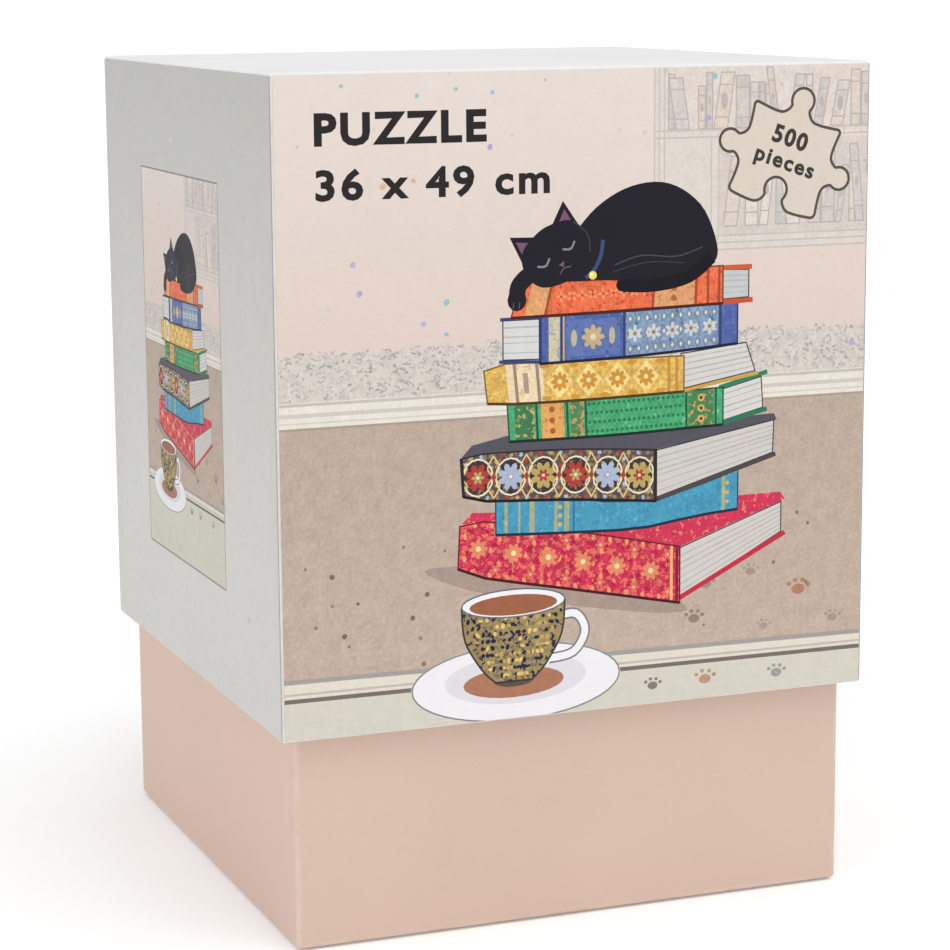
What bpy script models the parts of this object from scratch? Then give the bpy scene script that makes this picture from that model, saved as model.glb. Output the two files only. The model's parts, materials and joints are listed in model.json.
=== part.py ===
"""Boxed jigsaw puzzle: a telescoping board box that holds a film bag of die-cut pieces.

Metres, +Z up. The origin is the centre of the box's underside, and the printed front faces -Y.
Lid and base are trays of greyboard with taped corners, wrapped in paper that turns in at the rim.
"""

import math

import bmesh
import bpy
import numpy as np
from mathutils import Matrix

# Driving dimensions of the closed box
LID_WIDTH = 0.110
BASE_WIDTH = 0.1042
BOX_HEIGHT = 0.150
LID_HEIGHT = 0.112

# Sheet stock, and the glue line left between one layer and the next
BOARD = 0.0015
PAPER = 0.0002
TAPE = 0.0001
GLUE = 0.0001

# Wrapped edges and the paper turned in past them
CORNER_RADIUS = 0.0010
EDGE_RADIUS = 0.0008
RIM_RADIUS = 0.0003
TURN_IN = 0.018
TURN_UNDER = 0.014
TAPE_LEG = 0.010
BOTTOM_SHEET_MARGIN = 0.0025
LID_SEAT = 0.0003

# The puzzle: 20 by 25 pieces in a sheet of 36 by 49 cm
PIECE_WIDTH = 0.0180
PIECE_LENGTH = 0.0196
PIECE_THICKNESS = 0.0019
LOOSE_PIECES = 30

# The film bag and the heap of pieces in it
FILM = 0.0002
BAG_FLOOR = 0.0026
BAG_HALF = 0.0486
BAG_CORNER = 0.013
BAG_SHOULDER = 0.0985
BAG_PEAK = 0.110
SEAL_HEIGHT = 0.012
SEAL_LEAN = 0.009
SEAL_THICKNESS = 0.0006
VENT_RADIUS = 0.003
HEAP_GAP = 0.0008
HEAP_TOP = 0.086

CORNER_SEGMENTS = 3
SHEET_SINK = PAPER + GLUE
TAPE_SINK = SHEET_SINK + TAPE + GLUE


def clear_scene():
    """Start from an empty file."""
    for item in list(bpy.data.objects):
        bpy.data.objects.remove(item, do_unlink=True)


def make_collection(name):
    """A collection linked to the scene."""
    collection = bpy.data.collections.new(name)
    bpy.context.scene.collection.children.link(collection)
    return collection


def make_material(name, colour, roughness, metallic=0.0, alpha=1.0):
    """A Principled material in one linear colour."""
    material = bpy.data.materials.new(name)
    material.use_nodes = True
    shader = material.node_tree.nodes["Principled BSDF"]
    shader.inputs["Base Color"].default_value = (*colour, 1.0)
    shader.inputs["Roughness"].default_value = roughness
    shader.inputs["Metallic"].default_value = metallic
    shader.inputs["Alpha"].default_value = alpha
    return material


def mesh_object(name, form, material):
    """Turn a bmesh into an object of the part's collection."""
    mesh = bpy.data.meshes.new(name)
    form.to_mesh(mesh)
    form.free()
    item = bpy.data.objects.new(name, mesh)
    mesh.materials.append(material)
    PARTS.objects.link(item)
    return item


def as_cutter(item):
    """Move an object to the cutters, out of the render."""
    PARTS.objects.unlink(item)
    CUTTERS.objects.link(item)
    item.hide_render = True
    item.display_type = "WIRE"
    return item


def cut(item, cutter, name):
    """Subtract a cutter from an object."""
    boolean = item.modifiers.new(name, "BOOLEAN")
    boolean.operation = "DIFFERENCE"
    boolean.solver = "EXACT"
    boolean.object = cutter


def rounded_outline(half_x, half_y, radius):
    """The points of a rectangle with round corners, anticlockwise from above."""
    points = []
    for turn in range(4):
        sign_x = 1 if turn in (0, 3) else -1
        sign_y = 1 if turn in (0, 1) else -1
        for step in range(CORNER_SEGMENTS + 1):
            angle = math.pi / 2 * (turn + step / CORNER_SEGMENTS)
            x = sign_x * (half_x - radius) + radius * math.cos(angle)
            y = sign_y * (half_y - radius) + radius * math.sin(angle)
            points.append((x, y))
    return points


def sheet_through(rings, close_first, close_last):
    """A surface through rings of equal point counts, each a list of points (x, y, z)."""
    form = bmesh.new()
    rows = [[form.verts.new(point) for point in ring] for ring in rings]
    count = len(rows[0])
    for upper, lower in zip(rows, rows[1:]):
        for index in range(count):
            following = (index + 1) % count
            form.faces.new((upper[index], lower[index], lower[following], upper[following]))
    if close_first:
        form.faces.new(rows[0])
    if close_last:
        form.faces.new(list(reversed(rows[-1])))
    return form


def square_ring(half, radius, height):
    """One ring of a wrap: a rounded square at a height."""
    return [(x, y, height) for x, y in rounded_outline(half, half, radius)]


def rounded_edge_rings(half, height, radius, first, last, direction):
    """Rings round a square's edge, from angle first to last, in degrees from the wall's normal."""
    rings = []
    for step in range(CORNER_SEGMENTS + 1):
        angle = math.radians(first + (last - first) * step / CORNER_SEGMENTS)
        inset = radius * (1 - math.cos(angle))
        level = height + direction * radius * math.sin(angle)
        rings.append(square_ring(half - inset, CORNER_RADIUS - 0.9 * inset, level))
    return rings


def rim_rings(outer_half, inner_half, rim, direction, turn_in):
    """Rings that carry a wrap over a rim, from the outer wall to the end of the turn-in."""
    inner_radius = 0.0002
    back = rim - direction * RIM_RADIUS
    return [
        square_ring(outer_half, CORNER_RADIUS, back),
        square_ring(outer_half - RIM_RADIUS, CORNER_RADIUS - RIM_RADIUS, rim),
        square_ring(inner_half + RIM_RADIUS, inner_radius + RIM_RADIUS, rim),
        square_ring(inner_half, inner_radius, back),
        square_ring(inner_half, inner_radius, rim - direction * turn_in),
    ]


def paper_from(form, name, material):
    """Give a sheet its thickness, on the side of the board that it covers."""
    item = mesh_object(name, form, material)
    solidify = item.modifiers.new("paper_thickness", "SOLIDIFY")
    solidify.thickness = PAPER
    solidify.offset = -1.0
    solidify.use_even_offset = True
    return item


def box_form(half, bottom, top):
    """A square block from a cube primitive."""
    form = bmesh.new()
    size = Matrix.Diagonal((2 * half, 2 * half, top - bottom, 1.0))
    place = Matrix.Translation((0.0, 0.0, (bottom + top) / 2))
    bmesh.ops.create_cube(form, size=1.0, matrix=place @ size)
    return form


def board_tray(name, half, closed_level, open_level, material):
    """A greyboard tray: a block with eased edges, hollowed from its open side."""
    bottom, top = sorted((closed_level, open_level))
    tray = mesh_object(name, box_form(half, bottom, top), material)
    bevel = tray.modifiers.new("eased_edges", "BEVEL")
    bevel.width = CORNER_RADIUS - TAPE_SINK
    bevel.segments = 2
    bevel.limit_method = "ANGLE"
    inward = math.copysign(BOARD, open_level - closed_level)
    beyond = open_level + 10 * inward
    floor, mouth = sorted((closed_level + inward, beyond))
    hollow = as_cutter(mesh_object(name + "_hollow", box_form(half - BOARD, floor, mouth), material))
    cut(tray, hollow, "hollow")
    return tray


def corner_stay(name, half, bottom, top, quarter, material):
    """A paper tape bent round one upright corner of a tray."""
    radius = CORNER_RADIUS - SHEET_SINK - GLUE
    centre = half - radius
    path = [(centre - TAPE_LEG, half)]
    for step in range(CORNER_SEGMENTS + 1):
        angle = math.pi / 2 * (1 - step / CORNER_SEGMENTS)
        path.append((centre + radius * math.cos(angle), centre + radius * math.sin(angle)))
    path.append((half, centre - TAPE_LEG))
    form = bmesh.new()
    lower = [form.verts.new((x, y, bottom)) for x, y in path]
    upper = [form.verts.new((x, y, top)) for x, y in path]
    for index in range(len(path) - 1):
        form.faces.new((lower[index], upper[index], upper[index + 1], lower[index + 1]))
    stay = mesh_object(name, form, material)
    solidify = stay.modifiers.new("tape_thickness", "SOLIDIFY")
    solidify.thickness = TAPE
    solidify.offset = -1.0
    solidify.use_even_offset = True
    stay.rotation_euler.z = quarter * math.pi / 2
    return stay


def corner_stays(prefix, half, bottom, top, material):
    """The four stays of one tray, named by where they stand."""
    places = ("rear_right", "rear_left", "front_left", "front_right")
    for quarter, place in enumerate(places):
        name = prefix + "_corner_stay_" + place
        corner_stay(name, half - SHEET_SINK, bottom, top, quarter, material)


def build_lid(papers):
    """The lid: board tray, corner stays and the printed wrap."""
    half = LID_WIDTH / 2
    rim = BOX_HEIGHT - LID_HEIGHT
    board_half = half - TAPE_SINK
    board_tray("lid_board", board_half, BOX_HEIGHT - SHEET_SINK, rim + SHEET_SINK, papers["greyboard"])
    tape_ends = 0.002
    corner_stays("lid", half, rim + SHEET_SINK, BOX_HEIGHT - tape_ends, papers["stay_tape"])
    edge = rounded_edge_rings(half, BOX_HEIGHT - EDGE_RADIUS, EDGE_RADIUS, 90, 0, 1)
    inner_half = board_half - BOARD - SHEET_SINK
    rings = edge + rim_rings(half, inner_half, rim, -1, TURN_IN)
    paper_from(sheet_through(rings, True, False), "lid_wrap", papers["printed_wrap"])


def build_base(papers):
    """The base: board tray, corner stays, plain wrap and the sheet under its bottom."""
    half = BASE_WIDTH / 2
    board_half = half - TAPE_SINK
    rim = BOX_HEIGHT - SHEET_SINK - BOARD - LID_SEAT
    flap_level = SHEET_SINK
    board_floor = flap_level + SHEET_SINK
    board_tray("base_board", board_half, board_floor, rim - SHEET_SINK, papers["greyboard"])
    tape_ends = 0.002
    corner_stays("base", half, tape_ends, rim - SHEET_SINK, papers["stay_tape"])
    inner_half = board_half - BOARD - SHEET_SINK
    over_rim = list(reversed(rim_rings(half, inner_half, rim, 1, TURN_IN)))
    edge = rounded_edge_rings(half, flap_level + EDGE_RADIUS, EDGE_RADIUS, 0, 90, -1)
    flap_end = square_ring(half - TURN_UNDER, CORNER_RADIUS, flap_level)
    rings = over_rim + edge + [flap_end]
    paper_from(sheet_through(rings, False, False), "base_wrap", papers["plain_wrap"])
    sheet_half = half - BOTTOM_SHEET_MARGIN
    sheet_rings = [square_ring(sheet_half, CORNER_RADIUS, PAPER), square_ring(sheet_half, CORNER_RADIUS, 0.0)]
    mesh_object("base_bottom_sheet", sheet_through(sheet_rings, True, True), papers["plain_wrap"])


def bag_ring(half_x, half_y, radius, height, shift_y=0.0):
    """One level of the bag: a rounded rectangle, moved along Y where the top leans."""
    return [(x, y + shift_y, height) for x, y in rounded_outline(half_x, half_y, radius)]


def bag_rings(sink, with_seal):
    """The bag's levels from the seal down to its floor, sunk inward for the inside."""
    half = BAG_HALF - sink
    corner = BAG_CORNER - sink
    rings = []
    if with_seal:
        seal = SEAL_THICKNESS / 2
        seal_corner = SEAL_THICKNESS / 3
        rings.append(bag_ring(half, seal, seal_corner, BAG_PEAK + SEAL_HEIGHT - SEAL_LEAN, SEAL_LEAN))
        rings.append(bag_ring(half, seal, seal_corner, BAG_PEAK))
    else:
        rings.append(bag_ring(half - corner, sink, sink / 2, BAG_PEAK - 8 * sink))
    slack = BAG_SHOULDER + 0.45 * (BAG_PEAK - BAG_SHOULDER) - sink
    rings.append(bag_ring(half, half * 0.62, corner * 0.6, slack))
    rings.append(bag_ring(half, half, corner, BAG_SHOULDER - sink))
    for angle in (0, 35, 65, 90):
        turn = math.radians(angle)
        inset = corner * 0.7 * (1 - math.cos(turn))
        level = BAG_FLOOR + sink + corner * 0.7 * (1 - math.sin(turn))
        rings.append(bag_ring(half - inset, half - inset, corner - 0.5 * inset, level))
    return rings


def build_bag(film):
    """The film bag: a thin shell with a flattened seal on top and a vent hole in its shoulder."""
    bag = mesh_object("piece_bag", sheet_through(bag_rings(0.0, True), True, True), film)
    inside_form = sheet_through(bag_rings(FILM, False), True, True)
    inside = as_cutter(mesh_object("piece_bag_inside", inside_form, film))
    cut(bag, inside, "inside")
    form = bmesh.new()
    reach = 0.010
    place = Matrix.Translation((BAG_HALF * 0.45, -BAG_HALF * 0.75, BAG_SHOULDER))
    bmesh.ops.create_cone(
        form,
        cap_ends=True,
        segments=16,
        radius1=VENT_RADIUS,
        radius2=VENT_RADIUS,
        depth=2 * reach,
        matrix=place,
    )
    vent = as_cutter(mesh_object("piece_bag_vent", form, film))
    cut(bag, vent, "vent")


def build_heap(board):
    """The lower pieces, as one block that fills the bag up to where the loose ones lie."""
    half = BAG_HALF - FILM - HEAP_GAP
    corner = BAG_CORNER - FILM - HEAP_GAP
    floor = BAG_FLOOR + FILM + HEAP_GAP
    foot = corner * 0.7
    rings = [bag_ring(half - 0.001, half - 0.001, corner, HEAP_TOP), bag_ring(half, half, corner, HEAP_TOP - 0.001)]
    rings.append(bag_ring(half, half, corner, floor + foot))
    rings.append(bag_ring(half - foot * 0.35, half - foot * 0.35, corner, floor + foot * 0.3))
    rings.append(bag_ring(half - foot, half - foot, corner * 0.6, floor))
    mesh_object("piece_heap", sheet_through(rings, True, True), board)


def knob_side(length, kind):
    """Points along one side of a piece, with a knob (1), a socket (-1) or a straight edge (0)."""
    points = [(0.0, 0.0)]
    if kind == 0:
        return points
    knob_radius = 0.125 * length
    knob_centre = 0.145 * length
    dip = -0.03 * length
    opening = 48
    steps = 7
    points.append((0.24 * length, kind * dip))
    for step in range(steps):
        angle = math.radians(270 - opening + (2 * opening - 360) * step / (steps - 1))
        x = length / 2 + knob_radius * math.cos(angle)
        y = knob_centre + knob_radius * math.sin(angle)
        points.append((x, kind * y))
    points.append((0.76 * length, kind * dip))
    return points


def piece_outline(kinds):
    """A piece's outline, anticlockwise: its four sides, each a quarter turn on from the last."""
    corners = ((-1, -1), (1, -1), (1, 1), (-1, 1))
    outline = []
    for turn, kind in enumerate(kinds):
        length = PIECE_WIDTH if turn % 2 == 0 else PIECE_LENGTH
        corner_x = corners[turn][0] * PIECE_WIDTH / 2
        corner_y = corners[turn][1] * PIECE_LENGTH / 2
        cosine = math.cos(turn * math.pi / 2)
        sine = math.sin(turn * math.pi / 2)
        for along, out in knob_side(length, kind):
            x = corner_x + cosine * along + sine * out
            y = corner_y + sine * along - cosine * out
            outline.append((x, y))
    return outline


def inside_outline(outline, x, y):
    """Which of the points (x, y) lie inside an outline."""
    inside = np.zeros(x.shape, bool)
    for (x1, y1), (x2, y2) in zip(outline, outline[1:] + outline[:1]):
        if y1 == y2:
            continue
        crosses = (y1 > y) != (y2 > y)
        meets = x1 + (x2 - x1) * (y - y1) / (y2 - y1)
        inside ^= crosses & (x < meets)
    return inside


def settle_pieces():
    """Lay the loose pieces on the heap one by one, each on whatever lies under it.

    Each piece tries several places and keeps the lowest. The height of what lies there so far is
    held on a grid, and the piece leans as the best plane through those heights does.
    """
    random = np.random.default_rng(11)
    reach = 0.0152
    cell = 0.0008
    clearance = 0.00032
    steepest = 0.22
    half = BAG_HALF - FILM - HEAP_GAP
    axis = np.arange(-half, half + cell, cell)
    grid_x, grid_y = np.meshgrid(axis, axis, indexing="ij")
    heights = np.full(grid_x.shape, HEAP_TOP)
    settled = []
    for _ in range(LOOSE_PIECES):
        kinds = tuple(int(kind) for kind in random.choice((-1, 1), 4))
        grown = [(1.08 * x, 1.08 * y) for x, y in piece_outline(kinds)]
        best = None
        for _ in range(40):
            x, y = random.uniform(reach - half, half - reach, 2)
            yaw = random.uniform(0, 2 * math.pi)
            across = math.cos(yaw) * (grid_x - x) + math.sin(yaw) * (grid_y - y)
            along = math.cos(yaw) * (grid_y - y) - math.sin(yaw) * (grid_x - x)
            under = inside_outline(grown, across, along)
            offset_x = (grid_x - x)[under]
            offset_y = (grid_y - y)[under]
            ground = heights[under]
            columns = np.stack((offset_x, offset_y, np.ones_like(offset_x)), 1)
            slope = np.linalg.lstsq(columns, ground, rcond=None)[0][:2]
            slope *= min(1.0, steepest / max(1e-9, float(np.hypot(*slope))))
            rise = slope[0] * offset_x + slope[1] * offset_y
            level = float((ground - rise).max()) + clearance
            if best is None or level < best[0]:
                best = (level, x, y, yaw, slope, under, rise)
        level, x, y, yaw, slope, under, rise = best
        stretch = math.sqrt(1 + float(slope @ slope))
        heights[under] = np.maximum(heights[under], level + rise + PIECE_THICKNESS * stretch)
        settled.append((kinds, x, y, level + PIECE_THICKNESS * stretch / 2, yaw, slope))
    return settled


def build_pieces(board):
    """The loose pieces on top of the heap, each its own die-cut blank."""
    for number, (kinds, x, y, level, yaw, slope) in enumerate(settle_pieces(), 1):
        form = bmesh.new()
        lower = [form.verts.new((px, py, -PIECE_THICKNESS / 2)) for px, py in piece_outline(kinds)]
        face = form.faces.new(lower)
        extruded = bmesh.ops.extrude_face_region(form, geom=[face])
        raised = [item for item in extruded["geom"] if isinstance(item, bmesh.types.BMVert)]
        bmesh.ops.translate(form, verts=raised, vec=(0.0, 0.0, PIECE_THICKNESS))
        bmesh.ops.recalc_face_normals(form, faces=form.faces)
        piece = mesh_object("puzzle_piece_%02d" % number, form, board)
        normal = np.array((-slope[0], -slope[1], 1.0))
        normal /= np.linalg.norm(normal)
        ahead = np.array((math.cos(yaw), math.sin(yaw), 0.0))
        ahead -= normal * float(ahead @ normal)
        ahead /= np.linalg.norm(ahead)
        aside = np.cross(normal, ahead)
        turned = Matrix([(ahead[row], aside[row], normal[row]) for row in range(3)])
        piece.matrix_world = Matrix.Translation((x, y, level)) @ turned.to_4x4()


def make_papers():
    """The part's materials, by name."""
    return {
        "printed_wrap": make_material("printed_wrap", (0.72, 0.66, 0.60), 0.55),
        "plain_wrap": make_material("plain_wrap", (0.68, 0.50, 0.40), 0.60),
        "greyboard": make_material("greyboard", (0.30, 0.28, 0.25), 0.90),
        "stay_tape": make_material("stay_tape", (0.50, 0.36, 0.22), 0.80),
        "film": make_material("film", (0.85, 0.88, 0.90), 0.10, 0.0, 0.3),
        "piece_board": make_material("piece_board", (0.42, 0.45, 0.46), 0.60),
    }


clear_scene()
PARTS = make_collection("boxed_jigsaw_puzzle")
CUTTERS = make_collection("cutters")
PAPERS = make_papers()
build_base(PAPERS)
build_lid(PAPERS)
build_bag(PAPERS["film"])
build_heap(PAPERS["piece_board"])
build_pieces(PAPERS["piece_board"])
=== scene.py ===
"""Looks of the boxed jigsaw puzzle: printed lid, wrapped base, and the bag of loose pieces inside.

Metres, +Z up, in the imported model's frame. Artwork is drawn in millimetres on flat panels: x runs to
the right and y up, from a panel's lower left corner.
"""

import json
import math
import random
from collections import namedtuple

import bmesh
import bpy
import numpy as np
from mathutils import Matrix, Quaternion, Vector, noise
from mathutils.geometry import delaunay_2d_cdt


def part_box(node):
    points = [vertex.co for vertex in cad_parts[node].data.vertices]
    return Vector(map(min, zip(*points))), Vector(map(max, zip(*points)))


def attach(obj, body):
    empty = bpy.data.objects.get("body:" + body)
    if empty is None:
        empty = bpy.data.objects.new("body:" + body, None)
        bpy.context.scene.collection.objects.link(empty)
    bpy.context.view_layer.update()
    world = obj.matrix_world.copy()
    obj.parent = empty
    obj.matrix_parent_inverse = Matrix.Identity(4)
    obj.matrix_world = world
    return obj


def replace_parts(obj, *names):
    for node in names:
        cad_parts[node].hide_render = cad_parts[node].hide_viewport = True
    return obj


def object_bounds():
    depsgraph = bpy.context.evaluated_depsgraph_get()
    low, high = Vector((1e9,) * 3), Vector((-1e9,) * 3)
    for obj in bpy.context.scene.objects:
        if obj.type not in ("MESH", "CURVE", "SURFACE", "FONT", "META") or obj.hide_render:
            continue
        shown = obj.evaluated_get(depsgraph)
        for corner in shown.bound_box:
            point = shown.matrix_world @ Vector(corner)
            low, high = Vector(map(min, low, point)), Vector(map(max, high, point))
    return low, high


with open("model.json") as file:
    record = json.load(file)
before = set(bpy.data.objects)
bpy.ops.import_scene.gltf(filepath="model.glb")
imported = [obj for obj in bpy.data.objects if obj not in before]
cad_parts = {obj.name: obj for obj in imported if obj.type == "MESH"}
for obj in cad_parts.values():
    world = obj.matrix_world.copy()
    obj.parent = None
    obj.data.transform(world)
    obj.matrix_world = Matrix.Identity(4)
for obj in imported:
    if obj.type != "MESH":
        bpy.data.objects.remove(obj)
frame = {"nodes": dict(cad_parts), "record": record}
CAD_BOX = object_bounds()

MM = 0.001
LID_LOW, LID_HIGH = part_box("lid_wrap")
BASE_LOW, BASE_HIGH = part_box("base_wrap")
LID_HALF = LID_HIGH.x
BASE_HALF = BASE_HIGH.x
PANEL_WIDTH = 2 * LID_HALF / MM
PANEL_HEIGHT = (LID_HIGH.z - LID_LOW.z) / MM

# Wrapping paper: its thickness, the papered wall's, its rounded corners and edges, and its turn-ins
PAPER = 0.0002
WALL = 0.0023
CORNER_RADIUS = 0.0008
CORNER_STEPS = 8
EDGE_RADIUS = 0.0008
EDGE_STEPS = 6
RIM_RADIUS = 0.0003
INNER_RADIUS = 0.0002
TURN_IN = 0.018
TURN_UNDER = 0.014

# The strip where the base's paper laps over itself, and the print's height over the paper
OVERLAP = 0.013
LAP_THICKNESS = 0.00012
INK_LIFT = 0.00003


# ---------------------------------------------------------------- small helpers


def linear(colour):
    """An sRGB colour of 0 to 255 as linear light."""
    shares = [channel / 255 for channel in colour]
    return tuple(c / 12.92 if c <= 0.04045 else ((c + 0.055) / 1.055) ** 2.4 for c in shares)


def new_object(name, mesh):
    """An object of a mesh, linked to the scene."""
    item = bpy.data.objects.new(name, mesh)
    bpy.context.scene.collection.objects.link(item)
    return item


def bare_object(form, name):
    """An object from a bmesh, with no material."""
    mesh = bpy.data.meshes.new(name)
    form.to_mesh(mesh)
    form.free()
    return new_object(name, mesh)


def object_from(form, name, material, smooth_angle=40):
    """An object from a bmesh, smooth where its faces meet gently."""
    item = bare_object(form, name)
    item.data.materials.append(material)
    item.data.shade_smooth()
    item.data.set_sharp_from_angle(angle=math.radians(smooth_angle))
    return item


def apply_modifiers(item):
    """Replace an object's mesh by what its modifiers make of it."""
    depsgraph = bpy.context.evaluated_depsgraph_get()
    item.data = bpy.data.meshes.new_from_object(item.evaluated_get(depsgraph), depsgraph=depsgraph)
    item.modifiers.clear()


def rounded_corners(half_x, half_y, radius, steps):
    """The four corners of a rounded rectangle as arcs of points, anticlockwise from above."""
    arcs = []
    for turn in range(4):
        sign_x = 1 if turn in (0, 3) else -1
        sign_y = 1 if turn in (0, 1) else -1
        arc = []
        for step in range(steps + 1):
            angle = math.pi / 2 * (turn + step / steps)
            x = sign_x * (half_x - radius) + radius * math.cos(angle)
            y = sign_y * (half_y - radius) + radius * math.sin(angle)
            arc.append((x, y))
        arcs.append(arc)
    return arcs


def join_rows(form, rows, closed=False):
    """Faces between rows of vertices, and from each row's end to its start if it is closed."""
    count = len(rows[0])
    for lower, upper in zip(rows, rows[1:]):
        for index in range(count if closed else count - 1):
            following = (index + 1) % count
            form.faces.new((lower[index], lower[following], upper[following], upper[index]))


def leaned(x, y, degrees, centre):
    """A point given from a centre, turned about it by some degrees."""
    cosine, sine = math.cos(math.radians(degrees)), math.sin(math.radians(degrees))
    return centre[0] + x * cosine - y * sine, centre[1] + x * sine + y * cosine


# ---------------------------------------------------------------- drawing


def rectangle(x0, y0, x1, y1):
    """A ring round a rectangle."""
    return [(x0, y0), (x1, y0), (x1, y1), (x0, y1)]


def ellipse(x, y, half_width, half_height=None, turn=0.0, steps=12):
    """A ring round an ellipse, turned by some degrees."""
    half_height = half_width if half_height is None else half_height
    points = []
    for step in range(steps):
        angle = math.radians(360.0 * step / steps)
        points.append(leaned(half_width * math.cos(angle), half_height * math.sin(angle), turn, (x, y)))
    return points


def smooth_line(points, closed=False, steps=5):
    """A curve through points, as a chain of short straight runs."""
    count = len(points)
    made = []
    for index in range(count if closed else count - 1):
        if closed:
            a, b, c, d = (points[(index + k) % count] for k in (-1, 0, 1, 2))
        else:
            a, b, c, d = (points[min(max(index + k, 0), count - 1)] for k in (-1, 0, 1, 2))
        for step in range(steps):
            t = step / steps
            spot = []
            for k in (0, 1):
                bend = (2 * a[k] - 5 * b[k] + 4 * c[k] - d[k]) * t * t
                twist = (3 * b[k] - a[k] - 3 * c[k] + d[k]) * t**3
                spot.append(0.5 * (2 * b[k] + (c[k] - a[k]) * t + bend + twist))
            made.append(tuple(spot))
    if not closed:
        made.append(tuple(points[-1]))
    return made


def ribbon(points, width, closed):
    """The rings of a line of some width along points: one ring, or two for a closed line."""
    path = np.array(points, float)
    if closed:
        before = np.roll(path, 1, 0)
        after = np.roll(path, -1, 0)
    else:
        before = np.vstack((path[:1], path[:-1]))
        after = np.vstack((path[1:], path[-1:]))
    first = path - before
    second = after - path
    for run, other in ((first, second), (second, first)):
        still = np.hypot(*run.T) < 1e-9
        run[still] = other[still]
    first /= np.maximum(np.hypot(*first.T), 1e-9)[:, None]
    second /= np.maximum(np.hypot(*second.T), 1e-9)[:, None]
    along = first + second
    along /= np.maximum(np.hypot(*along.T), 1e-9)[:, None]
    normal = np.stack((-along[:, 1], along[:, 0]), 1)
    mitre = np.minimum(1.8, 1 / np.maximum(0.3, (first * along).sum(1)))
    offset = normal * (mitre * width / 2)[:, None]
    left = path + offset
    right = path - offset
    if closed:
        return [left.tolist(), right.tolist()]
    return [left.tolist() + right[::-1].tolist()]


def inside_rings(rings, x, y):
    """Which points (x, y) are inside an odd number of rings."""
    inside = np.zeros(x.shape, bool)
    for ring in rings:
        points = np.array(ring)
        for (x1, y1), (x2, y2) in zip(points, np.roll(points, -1, 0)):
            if y1 != y2:
                inside ^= ((y1 > y) != (y2 > y)) & (x < x1 + (x2 - x1) * (y - y1) / (y2 - y1))
    return inside


def clipped(ring, window):
    """The part of a ring inside a rectangle, or None."""
    left, low, right, high = window
    for axis, limit, keep_above in ((0, left, True), (0, right, False), (1, low, True), (1, high, False)):
        made = []
        for index, point in enumerate(ring):
            previous = ring[index - 1]
            inside = point[axis] >= limit if keep_above else point[axis] <= limit
            was_inside = previous[axis] >= limit if keep_above else previous[axis] <= limit
            if inside != was_inside:
                share = (limit - previous[axis]) / (point[axis] - previous[axis])
                crossing = [previous[k] + share * (point[k] - previous[k]) for k in (0, 1)]
                crossing[axis] = limit
                made.append(tuple(crossing))
            if inside:
                made.append(tuple(point))
        ring = made
        if len(ring) < 3:
            return None
    return ring


# A painted shape: its rings, its ink and how mottled that is, a second ink for flecks with the share of
# the shape that they cover, and the scale, shift and shade that it was drawn with; the shade darkens
# its inks as painted shade
Layer = namedtuple("Layer", "rings ink mottle fleck share scale shift shade")


class Art:
    """Flat painted shapes in millimetres, each laid over the ones before it."""

    def __init__(self, window):
        self.layers = []
        self.window = window
        self.scale = 1.0
        self.shift = (0.0, 0.0)
        self.shade = 1.0

    def place(self, scale, shift, window, shade=1.0):
        """Draw from here on at a scale and shift, inside a window, and with inks darkened as painted shade or
        not.
        """
        self.shade = shade
        self.scale = scale
        self.shift = shift
        self.window = window

    def paint(self, rings, ink, mottle=0.12, fleck=None, share=0.0):
        """Lay a shape down. ink is an sRGB colour, or a function of (x, y) in drawing units."""
        placed = []
        for ring in rings:
            moved = [(self.shift[0] + self.scale * x, self.shift[1] + self.scale * y) for x, y in ring]
            kept = clipped(moved, self.window)
            if kept:
                placed.append(kept)
        if placed:
            drawn = (self.scale, self.shift, self.shade)
            self.layers.append(Layer(placed, ink, mottle, fleck or (0, 0, 0), share, *drawn))

    def line(self, points, width, ink, closed=False, mottle=0.12):
        """A painted line."""
        self.paint(ribbon(points, width, closed), ink, mottle)

    def curve(self, points, width, ink, mottle=0.12):
        """A painted line that bends smoothly through points."""
        self.line(smooth_line(points), width, ink, mottle=mottle)

    def layer_at(self, x, y):
        """The number of the topmost layer at each point, or -1."""
        top = np.full(x.shape, -1)
        order = np.argsort(x)
        sorted_x = x[order]
        for number, layer in enumerate(self.layers):
            points = np.concatenate([np.array(ring) for ring in layer.rings])
            low = points.min(0)
            high = points.max(0)
            near = order[np.searchsorted(sorted_x, low[0]) : np.searchsorted(sorted_x, high[0], "right")]
            near = near[(y[near] >= low[1]) & (y[near] <= high[1])]
            hit = near[inside_rings(layer.rings, x[near], y[near])]
            top[hit] = number
        return top

    def inks(self, tops, x, y):
        """The ink with its mottle, and the fleck with its share, at points with known layers."""
        ink = np.ones((len(x), 4))
        fleck = np.zeros((len(x), 4))
        for number in np.unique(tops[tops >= 0]):
            layer = self.layers[number]
            here = np.flatnonzero(tops == number)
            if callable(layer.ink):
                for index in here:
                    across = (x[index] - layer.shift[0]) / layer.scale
                    up = (y[index] - layer.shift[1]) / layer.scale
                    ink[index, :3] = linear(layer.ink(across, up))
            else:
                ink[here, :3] = linear(layer.ink)
            # Painted shade: the layer's inks and flecks darkened by the shade it was drawn with
            ink[here, :3] *= layer.shade
            ink[here, 3] = layer.mottle
            fleck[here, :3] = np.array(linear(layer.fleck)) * layer.shade
            fleck[here, 3] = layer.share
        return ink, fleck


def between(low, high, start, end):
    """An ink that runs upward from one colour at the height start to another at end."""

    def ink(_, y):
        """The colour at a point."""
        share = min(1.0, max(0.0, (y - start) / (end - start)))
        return tuple(a + (b - a) * share for a, b in zip(low, high))

    return ink


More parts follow.
